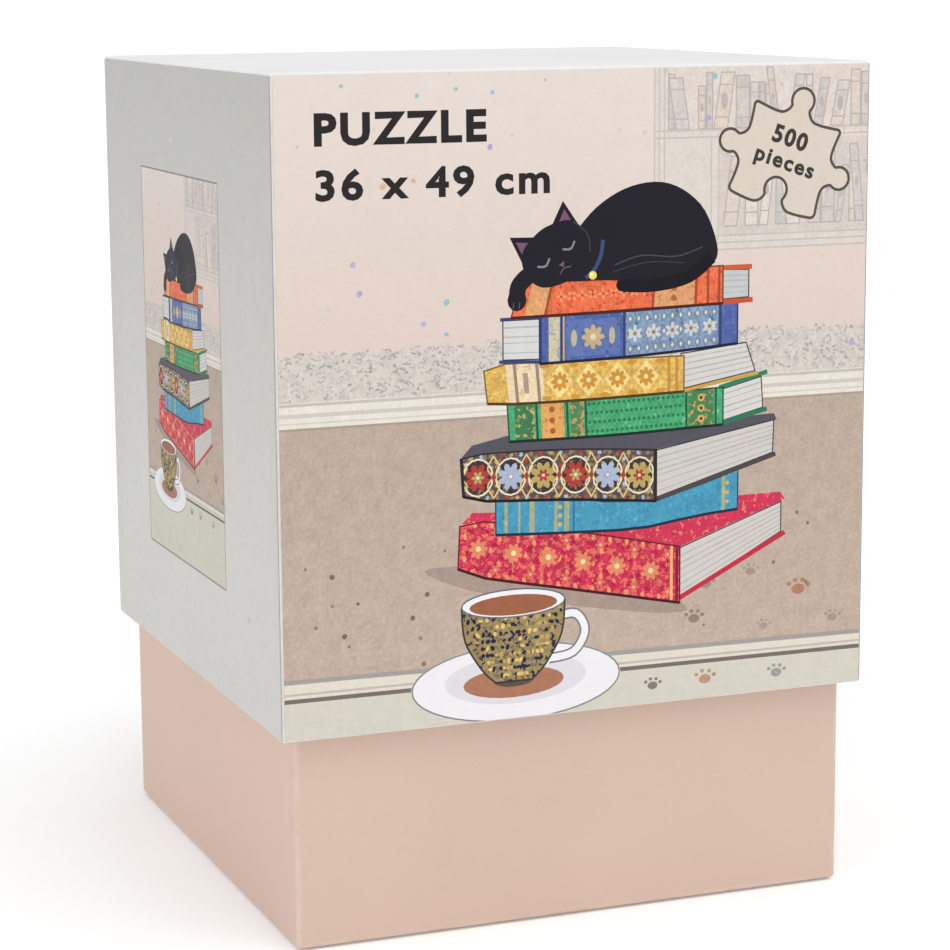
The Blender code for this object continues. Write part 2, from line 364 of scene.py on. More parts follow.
def outlines_of_text(words):
    """The rings of a line of lettering in the built-in typeface, one unit high and widely spaced."""
    curve = bpy.data.curves.new("lettering", "FONT")
    curve.body = words
    curve.size = 1.0
    curve.offset = 0.012
    curve.space_character = 1.17
    curve.resolution_u = 3
    item = new_object("lettering", curve)
    depsgraph = bpy.context.evaluated_depsgraph_get()
    mesh = bpy.data.meshes.new_from_object(item.evaluated_get(depsgraph), depsgraph=depsgraph)
    form = bmesh.new()
    form.from_mesh(mesh)
    bmesh.ops.remove_doubles(form, verts=form.verts, dist=1e-5)
    following = {}
    for edge in form.edges:
        if len(edge.link_faces) == 1:
            loop = edge.link_loops[0]
            following[loop.vert.index] = loop.link_loop_next.vert.index
    form.verts.ensure_lookup_table()
    rings = []
    while following:
        start, step = following.popitem()
        ring = [start]
        while step != start and step in following:
            ring.append(step)
            step = following.pop(step)
        rings.append([tuple(form.verts[index].co.xy) for index in ring])
    form.free()
    bpy.data.objects.remove(item)
    bpy.data.meshes.remove(mesh)
    return rings


def lettering(art, words, x, y, width, height, ink, stroke, turn=0.0):
    """Bold lettering that fills a width and height from its lower left corner, turned by degrees."""
    rings = outlines_of_text(words)
    points = np.concatenate([np.array(ring) for ring in rings])
    low = points.min(0)
    size = points.max(0) - low
    placed = []
    for ring in rings:
        made = []
        for px, py in ring:
            across = stroke / 2 + (px - low[0]) / size[0] * (width - stroke)
            up = stroke / 2 + (py - low[1]) / size[1] * (height - stroke)
            made.append(leaned(across, up, turn, (x, y)))
        placed.append(made)
    for ring in placed:
        art.line(ring, stroke, ink, closed=True, mottle=0.02)
    art.paint(placed, ink, 0.02)


# ---------------------------------------------------------------- the picture

INK = (52, 50, 58)
PAGE = (208, 203, 197)
PAGE_LINE = (186, 182, 175)
GOLD = (214, 178, 98)
CREAM = (238, 226, 196)


class Spine:
    """A book's spine as a patch: s runs from 0 to 1 along it, and t from 0 to 1 up it."""

    def __init__(self, lower, upper):
        self.lower = smooth_line(lower, steps=6) if len(lower) > 2 else list(lower)
        self.upper = smooth_line(upper, steps=6) if len(upper) > 2 else list(upper)

    @staticmethod
    def along(line, s):
        """The point at a share of a line's length."""
        path = np.array(line, float)
        runs = np.hypot(*np.diff(path, axis=0).T)
        reach = np.concatenate(([0.0], np.cumsum(runs)))
        spot = s * reach[-1]
        return np.array([np.interp(spot, reach, path[:, k]) for k in (0, 1)])

    def at(self, s, t):
        """The point at (s, t)."""
        low = self.along(self.lower, s)
        high = self.along(self.upper, s)
        return tuple(low + (high - low) * t)

    def patch(self, s0, s1, t0=0.0, t1=1.0):
        """The ring of a part of the spine."""
        steps = max(2, int(8 * (s1 - s0)) + 1)
        across = [s0 + (s1 - s0) * k / steps for k in range(steps + 1)]
        return [self.at(s, t0) for s in across] + [self.at(s, t1) for s in reversed(across)]

    def dot(self, s, t, radius, steps=8, stretch=1.0):
        """A round spot, or one that is stretched upward."""
        x, y = self.at(s, t)
        return ellipse(x, y, radius, radius * stretch, steps=steps)

    @property
    def length(self):
        """The spine's length."""
        return math.dist(self.at(0, 0.5), self.at(1, 0.5))

    @property
    def height(self):
        """The spine's height in the middle."""
        return math.dist(self.at(0.5, 0), self.at(0.5, 1))


def bands(art, spine, places, ink, width=0.012):
    """Upright rules across a spine."""
    for s in places:
        art.paint([spine.patch(s, s + width)], ink, 0.2)


def bound(art, spine, ink):
    """The thin dark line round a spine, heavier along its foot."""
    art.line(spine.patch(0, 1), 0.27, ink, closed=True)
    foot = [spine.at(share / 8, 0.0) for share in range(9)]
    art.line(foot, 0.5, tuple(0.62 * channel for channel in ink))


def flower(art, x, y, radius, petals, petal_ink, heart_ink, turn=0.0):
    """A round flower of plain petals."""
    for petal in range(petals):
        angle = turn + 360 / petals * petal
        px = x + 0.58 * radius * math.cos(math.radians(angle))
        py = y + 0.58 * radius * math.sin(math.radians(angle))
        art.paint([ellipse(px, py, 0.42 * radius, 0.24 * radius, angle, 7)], petal_ink, 0.25)
    art.paint([ellipse(x, y, 0.26 * radius, steps=7)], heart_ink, 0.2)


def diamond(x, y, half_width, half_height):
    """A ring round a diamond."""
    return [(x - half_width, y), (x, y - half_height), (x + half_width, y), (x, y + half_height)]


def staggered(columns, rows):
    """The columns and rows of a pattern, and each spot's place, half a column on in every other row."""
    for column in range(columns):
        for row in range(rows):
            yield column, row, column + 0.5 * (row % 2)


def lattice(art, spine, s0, s1, rows, columns, ink, bead_ink):
    """Diamonds in rows over a part of a spine, with a bead in each."""
    for column in range(columns):
        for row in range(rows):
            s = s0 + (s1 - s0) * (column + 0.5) / columns
            t = (row + 0.5) / rows
            x, y = spine.at(s, t)
            half_width = spine.length * (s1 - s0) / columns / 2 * 0.86
            half_height = spine.height / rows / 2 * 0.86
            art.paint([diamond(x, y, half_width, half_height)], ink, 0.3)
            art.paint([diamond(x, y, half_width * 0.42, half_height * 0.42)], bead_ink, 0.3)


def pages(art, corners, lines, shade):
    """A book's block of pages between four corners, lower left first, with the edges of its leaves."""
    a, b, c, d = (np.array(corner, float) for corner in corners)
    art.paint([[tuple(a), tuple(b), tuple(c), tuple(d)]], shade, 0.1)
    rng = random.Random(int(a[0] * 10 + a[1]))
    for number in range(1, lines):
        t = number / lines + rng.uniform(-0.2, 0.2) / lines
        start = a + (d - a) * t
        end = b + (c - b) * t
        art.line([tuple(start), tuple(end)], 0.16 + 0.14 * rng.random(), PAGE_LINE, mottle=0.3)
    art.line([tuple(a), tuple(b), tuple(c), tuple(d)], 0.22, INK, closed=True)


def book_orange(art):
    """The top book: warm orange, with a lighter label near its tail."""
    spine = Spine([(41.8, 70.0), (60, 70.2), (81.6, 70.6)], [(43.6, 76.0), (60, 76.6), (81.6, 77.2)])
    pages(art, [(81.0, 71.3), (86.6, 71.5), (86.6, 76.3), (81.0, 76.5)], 5, (196, 200, 200))
    art.line([(81, 70.8), (87.4, 71.0)], 0.9, (198, 84, 52))
    art.line([(81, 76.8), (87.2, 76.8)], 0.9, (206, 92, 60))
    art.paint([spine.patch(0, 1)], (230, 112, 72), 0.9, (205, 74, 52), 0.34)
    art.paint([spine.patch(0.06, 0.15)], (222, 160, 108), 0.5, (236, 190, 140), 0.4)
    art.paint([spine.patch(0.66, 0.86)], (221, 158, 110), 0.5, (188, 132, 76), 0.35)
    bands(art, spine, (0.15, 0.655, 0.862, 0.92, 0.975), (164, 72, 46))
    for column in range(9):
        x, y = spine.at(0.215 + 0.05 * column, 0.5)
        flower(art, x, y, 1.0, 4, (240, 148, 104), (190, 64, 44), 45 * (column % 2))
    for row in range(3):
        art.paint([spine.dot(0.76, 0.25 + 0.25 * row, 0.55)], (176, 104, 62), 0.3)
    bound(art, spine, (120, 52, 38))


def book_blue(art):
    """A blue book that lies with its head to the left, so that its leaves show there."""
    pages(art, [(40.3, 62.9), (47.8, 62.7), (47.8, 69.6), (40.3, 69.6)], 5, (214, 214, 212))
    art.line([(39.6, 62.6), (48, 62.2)], 0.6, (54, 66, 116))
    art.line([(39.8, 69.8), (48, 69.9)], 0.6, (54, 66, 116))
    spine = Spine([(47.0, 61.9), (66, 62.3), (84.5, 63.4)], [(47.0, 69.9), (66, 70.1), (84.5, 70.6)])
    art.paint([spine.patch(0, 1)], (78, 98, 160), 0.9, (104, 124, 178), 0.3)
    art.paint([spine.patch(0.045, 0.10)], (206, 196, 164), 0.4, (148, 160, 180), 0.4)
    art.paint([spine.patch(0.13, 0.40, 0.1, 0.9)], (96, 116, 172), 0.4, (70, 88, 152), 0.4)
    flower(art, *spine.at(0.265, 0.5), 2.2, 8, (196, 172, 128), (232, 214, 170))
    for s in (0.17, 0.36):
        art.paint([spine.dot(s, 0.5, 0.6, stretch=2.6)], (190, 178, 150), 0.3)
    art.paint([spine.patch(0.43, 0.90)], (134, 156, 182), 0.9, (84, 106, 150), 0.35)
    lattice(art, spine, 0.43, 0.90, 3, 11, (112, 138, 172), (232, 214, 168))
    for column in range(5):
        flower(art, *spine.at(0.475 + 0.095 * column, 0.5), 1.5, 6, (200, 206, 204), (168, 120, 88), 30)
    bands(art, spine, (0.0, 0.105, 0.415, 0.905), (52, 64, 112))
    bands(art, spine, (0.115,), GOLD, 0.008)
    bound(art, spine, (40, 48, 86))


def book_yellow(art):
    """A yellow book with a rounded head and a pale label."""
    pages(art, [(73.6, 56.0), (88.0, 58.4), (86.2, 63.5), (73.6, 62.2)], 6, (214, 210, 206))
    art.line([(73.6, 55.6), (88.6, 58.0)], 0.6, (206, 158, 70))
    spine = Spine(
        [(37.4, 55.6), (40, 55.3), (56, 55.2), (74.2, 55.5)],
        [(36.8, 61.2), (40, 62.2), (56, 62.0), (74.2, 61.8)],
    )
    art.paint([spine.patch(0, 1)], (218, 176, 88), 0.9, (230, 198, 124), 0.4)
    art.paint([spine.patch(0.11, 0.29)], (236, 214, 178), 0.4, (222, 190, 140), 0.35)
    bands(art, spine, (0.145, 0.255), (150, 134, 116), 0.016)
    art.paint([spine.patch(0.19, 0.215, 0.25, 0.75)], (172, 150, 128), 0.3)
    for column in range(4):
        x, y = spine.at(0.37 + 0.145 * column, 0.5)
        art.paint([diamond(x, y, 2.5, 2.9)], (242, 214, 142), 0.5, (230, 180, 84), 0.3)
        flower(art, x, y, 1.7, 8, (204, 146, 56), (246, 226, 168))
    for column in range(5):
        s = 0.30 + 0.145 * column
        for t in (0.1, 0.9):
            art.paint([ellipse(*spine.at(s, t), 1.0, 0.45, steps=8)], (206, 148, 60), 0.3)
    art.paint([spine.patch(0.915, 0.93)], (196, 142, 62), 0.3)
    art.paint([spine.patch(0.955, 0.97)], (196, 142, 62), 0.3)
    bound(art, spine, (128, 92, 44))


def book_green(art):
    """A green book with a small even pattern and an orange label."""
    pages(art, [(81.2, 49.8), (89.6, 51.8), (89.2, 57.3), (81.2, 55.4)], 5, (216, 212, 208))
    art.line([(81, 49.4), (90.4, 51.5)], 0.8, (40, 122, 84))
    art.line([(81, 55.8), (90.4, 58.1)], 0.8, (46, 130, 90))
    spine = Spine([(41.4, 48.8), (60, 48.7), (81.8, 49.2)], [(41.0, 55.4), (60, 55.4), (81.8, 55.8)])
    art.paint([spine.patch(0, 1)], (72, 164, 112), 0.9, (104, 190, 138), 0.3)
    for _, row, place in staggered(20, 4):
        art.paint([spine.dot(0.36 + 0.46 * place / 20, 0.14 + 0.24 * row, 0.34, 5)], (40, 118, 82), 0.3)
    art.paint([spine.patch(0.03, 0.12)], (58, 122, 82), 0.5, (196, 176, 96), 0.45)
    art.paint([spine.patch(0.15, 0.255)], (226, 166, 96), 0.5, (206, 128, 74), 0.4)
    art.paint([spine.patch(0.285, 0.345)], (70, 128, 84), 0.5, (206, 150, 90), 0.5)
    art.paint([spine.patch(0.835, 0.955)], (66, 130, 84), 0.5, (214, 152, 84), 0.42)
    for row in range(3):
        art.paint([spine.dot(0.895, 0.22 + 0.28 * row, 0.7)], (214, 170, 92), 0.3)
        art.paint([spine.dot(0.895, 0.22 + 0.28 * row, 0.3, 6)], (60, 46, 40), 0.2)
        art.paint([spine.dot(0.20, 0.22 + 0.28 * row, 0.55)], (176, 92, 58), 0.3)
    bands(art, spine, (0.125, 0.265, 0.35, 0.82, 0.96), (30, 88, 62), 0.01)
    bound(art, spine, (24, 72, 52))


def book_dark(art):
    """A dark cloth book with bright flowers, its cover's top showing."""
    cover = [(32.6, 46.6), (34.5, 48.6), (41, 49.9), (62, 49.8)]
    cover += [(91.8, 50.6), (92.4, 49.4), (68.6, 45.6), (34, 46.2)]
    art.paint([cover], (84, 82, 92), 0.25)
    pages(art, [(68.4, 37.0), (91.6, 43.6), (91.8, 49.4), (68.4, 45.4)], 7, PAGE)
    art.line([(68.4, 36.6), (92.2, 43.3)], 0.8, (78, 70, 70))
    spine = Spine(
        [(32.8, 39.9), (36, 38.9), (52, 38.0), (69.0, 36.5)],
        [(32.4, 46.4), (36, 47.0), (52, 46.8), (69.0, 45.6)],
    )
    art.paint([spine.patch(0, 1)], (88, 76, 80), 1.0, (146, 122, 96), 0.5)
    cloth = ((176, 62, 54), (186, 164, 98), (172, 182, 204), (150, 128, 92))
    for column, row, place in staggered(19, 8):
        x, y = spine.at(0.03 + 0.05 * place, 0.07 + 0.124 * row)
        shape = ellipse(x, y, 0.46, 0.34, 35 * ((row + column) % 5), 6)
        art.paint([shape], cloth[(row * 3 + column) % 4], 0.6)
    for column in range(6):
        x, y = spine.at(0.085 + 0.165 * column, 0.5)
        art.paint([ellipse(x, y, 2.9, 3.4, steps=16)], (58, 48, 56), 0.8, cloth[3], 0.4)
        art.line(ellipse(x, y, 2.75, 3.2, steps=16), 0.3, CREAM, closed=True)
        flower(art, x, y, 2.5, 8, cloth[(column * 2) % 3], (60, 48, 54), 22.5)
        flower(art, x, y, 1.2, 6, cloth[(column + 1) % 3], CREAM)
    for column in range(7):
        x, low = spine.at(0.002 + 0.165 * column, 0.06)
        x, high = spine.at(0.002 + 0.165 * column, 0.94)
        middle = (low + high) / 2
        for side in (-1, 1):
            curve = [(x, low), (x + 1.1 * side, middle - 1.6), (x + 0.3 * side, middle)]
            curve += [(x + 1.1 * side, middle + 1.6), (x, high)]
            kept = [point for point in smooth_line(curve) if 32.8 < point[0] < 68.4]
            if len(kept) > 2:
                art.line(kept, 0.26, (222, 198, 130))
        if 33.2 < x < 68:
            art.paint([diamond(x, middle, 0.5, 0.9)], cloth[0], 0.6)
    bands(art, spine, (0.0, 0.985), (48, 40, 48), 0.015)
    bound(art, spine, (40, 34, 40))


def book_light_blue(art):
    """A thin light blue book that bends over the one below."""
    spine = Spine(
        [(38.8, 32.8), (52, 32.2), (66, 31.9), (76, 33.2), (84.8, 33.9)],
        [(38.8, 39.4), (52, 38.2), (63, 36.8), (74, 37.9), (84.8, 41.0)],
    )
    art.paint([spine.patch(0, 1)], (72, 151, 183), 0.7, (94, 172, 198), 0.3)
    rules = ((0.035, 0.012), (0.09, 0.008), (0.135, 0.02), (0.235, 0.012), (0.275, 0.02), (0.93, 0.016))
    for s, width in rules:
        art.paint([spine.patch(s, s + width)], (168, 170, 132), 0.4, (206, 190, 118), 0.4)
    for row in range(3):
        art.paint([spine.dot(0.258, 0.25 + 0.25 * row, 0.42, 7)], GOLD, 0.3)
        art.paint([spine.dot(0.955, 0.25 + 0.25 * row, 0.36, 7)], GOLD, 0.3)
    bands(art, spine, (0.31,), (44, 112, 150), 0.007)
    bound(art, spine, (34, 74, 102))


def book_red(art):
    """The big red book at the bottom, seen from a corner."""
    shadow = [(27, 28.0), (34, 23.5), (52, 19.4), (70, 16.4), (74.6, 17.4), (60, 25)]
    art.paint([smooth_line(shadow, True)], (168, 148, 136), 0.3)
    cover = [(32.6, 35.2), (34.5, 37.0), (50, 36.0), (93.2, 36.4), (94.2, 35.0), (73.6, 28.0), (34, 35.0)]
    art.paint([cover], (206, 52, 84), 0.5, (232, 124, 104), 0.36)
    pages(art, [(73.6, 18.8), (93.4, 29.2), (93.4, 34.6), (73.6, 27.8)], 7, (210, 204, 199))
    art.line([(72.4, 18.2), (94.2, 29.0)], 0.9, (196, 44, 66))
    spine = Spine(
        [(31.8, 27.4), (36, 25.6), (54, 21.9), (73.6, 17.9)],
        [(32.2, 34.8), (36, 35.4), (54, 32.2), (73.6, 28.0)],
    )
    art.paint([spine.patch(0, 1)], (198, 42, 78), 1.0, (226, 112, 96), 0.5)
    cloth = ((224, 100, 92), (180, 28, 70), (236, 150, 104), (208, 60, 88))
    for column, row, place in staggered(24, 9):
        x, y = spine.at(0.03 + 0.038 * place, 0.06 + 0.11 * row)
        shape = ellipse(x, y, 0.62, 0.4, 50 * ((row + 2 * column) % 4), 6)
        art.paint([shape], cloth[(2 * column + 3 * row) % 4], 0.8)
    for column in range(6):
        x, y = spine.at(0.09 + 0.155 * column, 0.5)
        art.paint([diamond(x, y, 2.2, 3.6)], (200, 52, 80), 1.0, (226, 132, 98), 0.45)
        flower(art, x, y, 1.8, 8, (226, 138, 100), (166, 22, 60), 22.5 * (column % 2))
        art.paint([ellipse(x, y, 0.5, steps=8)], (246, 222, 160), 0.2)
    for column in range(6):
        for t in (0.17, 0.83):
            flower(art, *spine.at(0.168 + 0.155 * column, t), 1.05, 6, (222, 112, 98), (234, 186, 126))
    bands(art, spine, (0.955,), (242, 184, 116), 0.012)
    bands(art, spine, (0.98,), (128, 26, 50), 0.012)
    bound(art, spine, (108, 26, 44))


def cat(art):
    """A plain dark cat, asleep with its head on one side and a paw over the edge."""
    fur = (27, 25, 34)
    edge = (17, 16, 23)
    soft = (92, 92, 108)
    body = [
        (48.6, 76.4), (52.4, 82.4), (57.6, 88.2), (64.2, 91.6), (71.2, 91.8), (77.2, 88.0),
        (80.2, 81.8), (80.0, 78.0), (75.6, 75.6), (69.2, 74.8), (60, 75.6),
    ]
    art.paint([smooth_line(body, True)], fur, 0.2)
    art.curve([(52.0, 77.4), (46.4, 77.6), (43.4, 75.6), (42.9, 73.2)], 3.0, fur, 0.2)
    art.paint([ellipse(42.9, 73.0, 1.75, 1.9)], fur, 0.2)
    for claw in (-0.6, 0.5):
        art.line([(42.9 + claw, 72.6), (42.8 + claw, 71.6)], 0.16, soft)
    middle = Vector((50.2, 80.4))

    def turned(points):
        """Points of the upright head, leaned to where the head lies."""
        return [leaned(x, y, 31, middle) for x, y in points]

    for side in (-1, 1):
        ear = [(6.1 * side, 1.2), (5.7 * side, 7.2), (1.3 * side, 4.4)]
        art.paint([turned(ear)], fur, 0.2)
        inner = [(5.3 * side, 3.0), (5.2 * side, 5.9), (3.1 * side, 4.4)]
        art.paint([turned(inner)], (120, 82, 112), 0.3)
    skull = [(-6.5, 0.2), (-5.2, 3.6), (-1.6, 5.0), (1.6, 5.0), (5.2, 3.6), (6.5, 0.2), (5.0, -3.4)]
    skull += [(0, -5.0), (-5.0, -3.4)]
    art.paint([turned(smooth_line(skull, True))], fur, 0.2)
    art.line(turned(smooth_line([(5.4, -3.0), (6.6, -0.2), (5.5, 3.2)])), 0.26, (60, 58, 72))
    for x in (-2.7, 2.7):
        art.line(turned(smooth_line([(x - 1.3, 0.2), (x, -0.55), (x + 1.3, 0.2)])), 0.36, (132, 134, 150))
    art.paint([turned([(-0.6, -1.7), (0.6, -1.7), (0, -2.5)])], (118, 90, 108), 0.1)
    art.line(turned(smooth_line([(-1.2, -3.2), (0, -2.7), (1.2, -3.2)])), 0.2, soft)
    art.curve([(61.0, 78.2), (66.0, 79.6), (72.6, 79.2), (77.6, 80.6)], 0.24, (70, 69, 82))
    art.curve([(60.6, 77.0), (67.0, 78.4), (74.2, 78.0)], 0.2, (58, 57, 70))
    art.curve([(79.4, 78.8), (75.0, 75.6), (68.6, 74.4), (62.6, 74.6)], 2.3, edge)
    art.paint([ellipse(62.4, 74.7, 1.15)], edge, 0.2)
    art.curve([(55.6, 76.2), (57.2, 77.6), (58.4, 80.0), (58.8, 82.6)], 0.7, (52, 78, 120))
    art.paint([ellipse(56.9, 76.6, 0.75)], (240, 216, 92), 0.1)
    art.paint([ellipse(56.7, 76.8, 0.28)], (255, 250, 214), 0.1)


def cup(art):
    """An upright cup of tea on a saucer."""
    art.paint([ellipse(42.6, 6.6, 19.6, 7.0, steps=40)], (238, 236, 238), 0.06)
    art.line(ellipse(42.6, 6.6, 19.4, 6.8, steps=40), 0.3, (134, 134, 140), closed=True)
    art.paint([ellipse(42.4, 7.2, 13.2, 4.4, steps=32)], (222, 220, 224), 0.08)
    art.paint([ellipse(42.0, 6.6, 9.4, 2.7, steps=24)], (172, 118, 92), 0.3)
    handle = [(49.6, 17.4), (53.6, 17.8), (55.4, 14.6), (53.2, 11.0), (48.6, 10.2)]
    art.curve(handle, 1.9, (118, 118, 124))
    art.curve(handle, 1.3, (240, 238, 240))
    bowl = smooth_line([(32.4, 20.4), (33.0, 14.6), (36.0, 9.4), (38.6, 6.8)])
    other = smooth_line([(45.4, 6.8), (48.0, 9.4), (51.0, 14.6), (51.6, 20.4)])
    art.paint([ellipse(42, 6.9, 3.7, 1.1, steps=16)], (92, 80, 66), 0.4)
    art.paint([bowl + other], (158, 138, 92), 0.8, (38, 38, 66), 0.42)
    rng = random.Random(5)
    rows, columns = 10, 15
    for row in range(rows):
        for column in range(columns):
            t = (row + 0.5) / rows
            half = 9.2 - 5.6 * (1 - t) ** 1.7
            x = 42 + half * ((column + 0.5 * (row % 2)) / ((columns - 0.5) / 2) - 1) * 0.94
            y = 7.4 + 12.4 * t
            if abs(x - 42) > half - 0.5:
                continue
            ink = rng.choice(((34, 34, 60), (226, 194, 112), (34, 34, 60), (196, 164, 92), (120, 110, 96)))
            shape = ellipse(x, y, rng.uniform(0.3, 0.62), rng.uniform(0.24, 0.42), rng.uniform(0, 180), 6)
            art.paint([shape], ink, 0.3)
    art.line(bowl + other, 0.34, (58, 52, 56), closed=True)
    art.paint([ellipse(42, 20.6, 9.7, 2.5, steps=28)], (240, 239, 242), 0.06)
    art.paint([ellipse(42, 20.3, 8.2, 1.8, steps=24)], (158, 98, 70), 0.25)
    art.line(ellipse(42, 20.6, 9.6, 2.45, steps=28), 0.28, (110, 110, 118), closed=True)


def paw_print(art, x, y, size, ink):
    """One faint paw print."""
    art.paint([ellipse(x, y, 1.25 * size, 0.9 * size, steps=9)], ink, 0.5)
    for angle in (25, 65, 105, 145):
        spot_x = x + 2.0 * size * math.cos(math.radians(angle))
        spot_y = y + 1.55 * size * math.sin(math.radians(angle))
        art.paint([ellipse(spot_x, spot_y, 0.46 * size, 0.4 * size, steps=6)], ink, 0.5)


def bookcase(art):
    """The faint line drawing of shelves behind."""
    pale = (202, 193, 185)
    art.paint([rectangle(68.4, 80.0, 130, 130)], (221, 211, 203), 0.25)
    art.paint([rectangle(70.2, 99.5, 130, 130)], (222, 211, 202), 0.35)
    art.paint([rectangle(80.6, 82.4, 130, 99.0)], (214, 203, 195), 0.35)
    rng = random.Random(21)
    tints = (
        (218, 206, 197), (210, 202, 196), (225, 214, 203), (202, 197, 193), (221, 207, 192), (210, 199, 190),
    )
    for shelf, left, height in ((100.9, 71.0, 10.4), (84.0, 81.6, 14.0)):
        x = left
        while x < 126:
            width = rng.uniform(0.9, 2.6)
            tall = height * rng.uniform(0.7, 1.0)
            lean = rng.choice((0, 0, 0, 1.4, -1.4))
            top = shelf + tall
            ring = [(x, shelf), (x + width, shelf), (x + width + lean, top), (x + lean, top)]
            art.paint([ring], rng.choice(tints), 0.4, (198, 190, 186), 0.12)
            art.line(ring, 0.22, (182, 176, 172), closed=True)
            for band in (0.2, 0.78):
                start = (x + lean * band + 0.1, shelf + tall * band)
                art.line([start, (start[0] + width - 0.2, start[1])], 0.24, (186, 178, 172))
            if rng.random() < 0.5:
                spot = (x + width / 2 + lean / 2, shelf + tall / 2)
                art.paint([ellipse(*spot, width * 0.26, width * 0.6, steps=7)], (188, 180, 178), 0.3)
            x += width + abs(lean) + 0.25
    for x, top, bottom in (
        (68.4, 130, 82.0), (69.3, 130, 82.0), (70.3, 130, 82.0), (79.2, 99.4, 81.6), (80.6, 99.4, 81.6),
    ):
        art.line([(x, bottom), (x, top)], 0.28, pale)
    for y, left in ((100.7, 68.4), (99.5, 68.4), (82.4, 79.2), (81.2, 76.0), (80.0, 76.0)):
        art.line([(left, y), (130, y)], 0.34, pale)


PAW_PRINTS = (
    (78.6, 20.8, 0.9, (158, 140, 126)),
    (87.5, 22.4, 0.8, (166, 150, 136)),
    (97.0, 18.4, 1.1, (176, 126, 98)),
    (68.4, 3.4, 0.8, (126, 126, 112)),
    (78.6, 3.6, 1.0, (190, 150, 130)),
    (92.8, 3.4, 0.9, (158, 160, 152)),
    (76.4, 14.8, 0.9, (140, 126, 116)),
    (104.0, 12.6, 0.8, (168, 150, 134)),
    (90.2, 12.2, 0.7, (170, 154, 140)),
)


def wainscot(art, rng):
    """A strip of wall with many small curls and leaves, and the rail under it."""
    art.paint([rectangle(-20, 57.4, 135, 65.6)], (212, 204, 194), 0.4, (192, 186, 178), 0.3)
    for _ in range(1500):
        x = rng.uniform(-18, 130)
        y = 57.9 + 8.2 * rng.random() ** 0.9
        shade = rng.uniform(156, 204)
        ink = (shade + 4, shade, shade - 4)
        if rng.random() < 0.5:
            curl = [(x, y)]
            curl.append((x + rng.uniform(0.2, 0.7), y + rng.uniform(-0.5, 0.5)))
            curl.append((x + rng.uniform(0.5, 1.1), y + rng.uniform(-0.5, 0.6)))
            art.line(smooth_line(curl, steps=2), rng.uniform(0.16, 0.32), ink)
        else:
            leaf = ellipse(x, y, rng.uniform(0.16, 0.42), rng.uniform(0.14, 0.3), rng.uniform(0, 180), 5)
            art.paint([leaf], ink, 0.3)
    art.paint([rectangle(-20, 53.2, 135, 57.8)], (231, 224, 212), 0.2)
    rail = ((57.4, 0.5, (196, 190, 180)), (55.6, 0.7, (206, 200, 190)), (54.3, 0.3, (214, 206, 194)))
    for y, width, ink in rail:
        art.line([(-20, y), (135, y)], width, ink)


def skirting(art):
    """The skirting board, which runs down a little to the right."""
    art.paint([[(-20, 10.7), (135, 9.4), (135, 6.4), (-20, 7.0)]], (225, 218, 203), 0.15)
    art.line([(-20, 10.6), (135, 9.3)], 0.8, (164, 158, 152))
    art.line([(-20, 8.3), (135, 7.7)], 0.4, (196, 184, 176))
    art.line([(-20, 7.1), (135, 6.6)], 0.9, (122, 108, 102))


def room(art):
    """Wall, bookcase, wainscot, floor, skirting and mat, from the back forward."""
    art.paint([rectangle(-20, -40, 135, 135)], between((222, 203, 192), (228, 217, 208), 60, 112), 0.08)
    bookcase(art)
    rng = random.Random(3)
    wainscot(art, rng)
    floor = between((194, 174, 158), (187, 168, 152), 6, 53)
    art.paint([rectangle(-20, 5, 135, 53.4)], floor, 0.4, (180, 160, 144), 0.12)
    art.line([(-20, 53.3), (135, 53.3)], 0.4, (170, 154, 140))
    skirting(art)
    mat = between((209, 207, 190), (212, 208, 194), -20, 7)
    art.paint([[(-20, -40), (135, -40), (135, 6.3), (-20, 6.8)]], mat, 0.16, (206, 212, 190), 0.08)
    for x, y, size, ink in PAW_PRINTS:
        paw_print(art, x, y, size, ink)
    for _ in range(36):
        x, y = rng.uniform(2, 112), rng.uniform(11, 33)
        crumb = ellipse(x, y, rng.uniform(0.2, 0.5), steps=7)
        art.paint([crumb], rng.choice(((118, 106, 98), (150, 128, 110), (134, 124, 112))), 0.3)


def still_life(art):
    """The stack of books with the cat on it, and the cup in front."""
    for book in (book_red, book_light_blue, book_dark, book_green, book_yellow, book_blue, book_orange):
        book(art)
    cat(art)
    cup(art)


CONFETTI = (
    (146, 190, 204), (218, 184, 154), (160, 198, 174), (176, 172, 208),
    (226, 198, 188), (208, 208, 178), (184, 208, 212),
)


def confetti(art, count, seed, box, keep):
    """Small soft dots scattered over the paper."""
    rng = random.Random(seed)
    for _ in range(count):
        x, y = rng.uniform(box[0], box[2]), rng.uniform(box[1], box[3])
        radius = rng.choice((0.22, 0.3, 0.42, 0.55, 0.62))
        ink = rng.choice(CONFETTI)
        if keep(x, y):
            dot = ellipse(x, y, radius, radius * rng.uniform(0.8, 1.0), rng.uniform(0, 90), 9)
            art.paint([dot], ink, 0.4)


def off_the_stack(x, y):
    """Whether a point is clear of the stack and the cat."""
    return not (38 < x < 90 and y < 94)


def picture(art):
    """The whole picture, drawn in the units of the front panel."""
    room(art)
    confetti(art, 90, 9, (-16, 62, 126, 128), off_the_stack)
    still_life(art)


# ---------------------------------------------------------------- lid print

EDGE_MARGIN = 0.42
RIM_MARGIN = 0.25
TOP_MARGIN = 0.55
WINDOW = (EDGE_MARGIN, RIM_MARGIN, PANEL_WIDTH - EDGE_MARGIN, PANEL_HEIGHT - TOP_MARGIN)
LETTER_INK = (38, 34, 35)
BADGE_INK = (62, 56, 52)
BADGE_LEAN = -19.0
SIDE_SCALE = 0.579
SIDE_SHIFT = (16.9, 28.3)
# How far the side panels' small picture has its inks darkened: painted shade
SIDE_PAINTED_SHADE = 0.87
SIDE_FRAME = (26.7, 20.0, 78.0, 92.0)


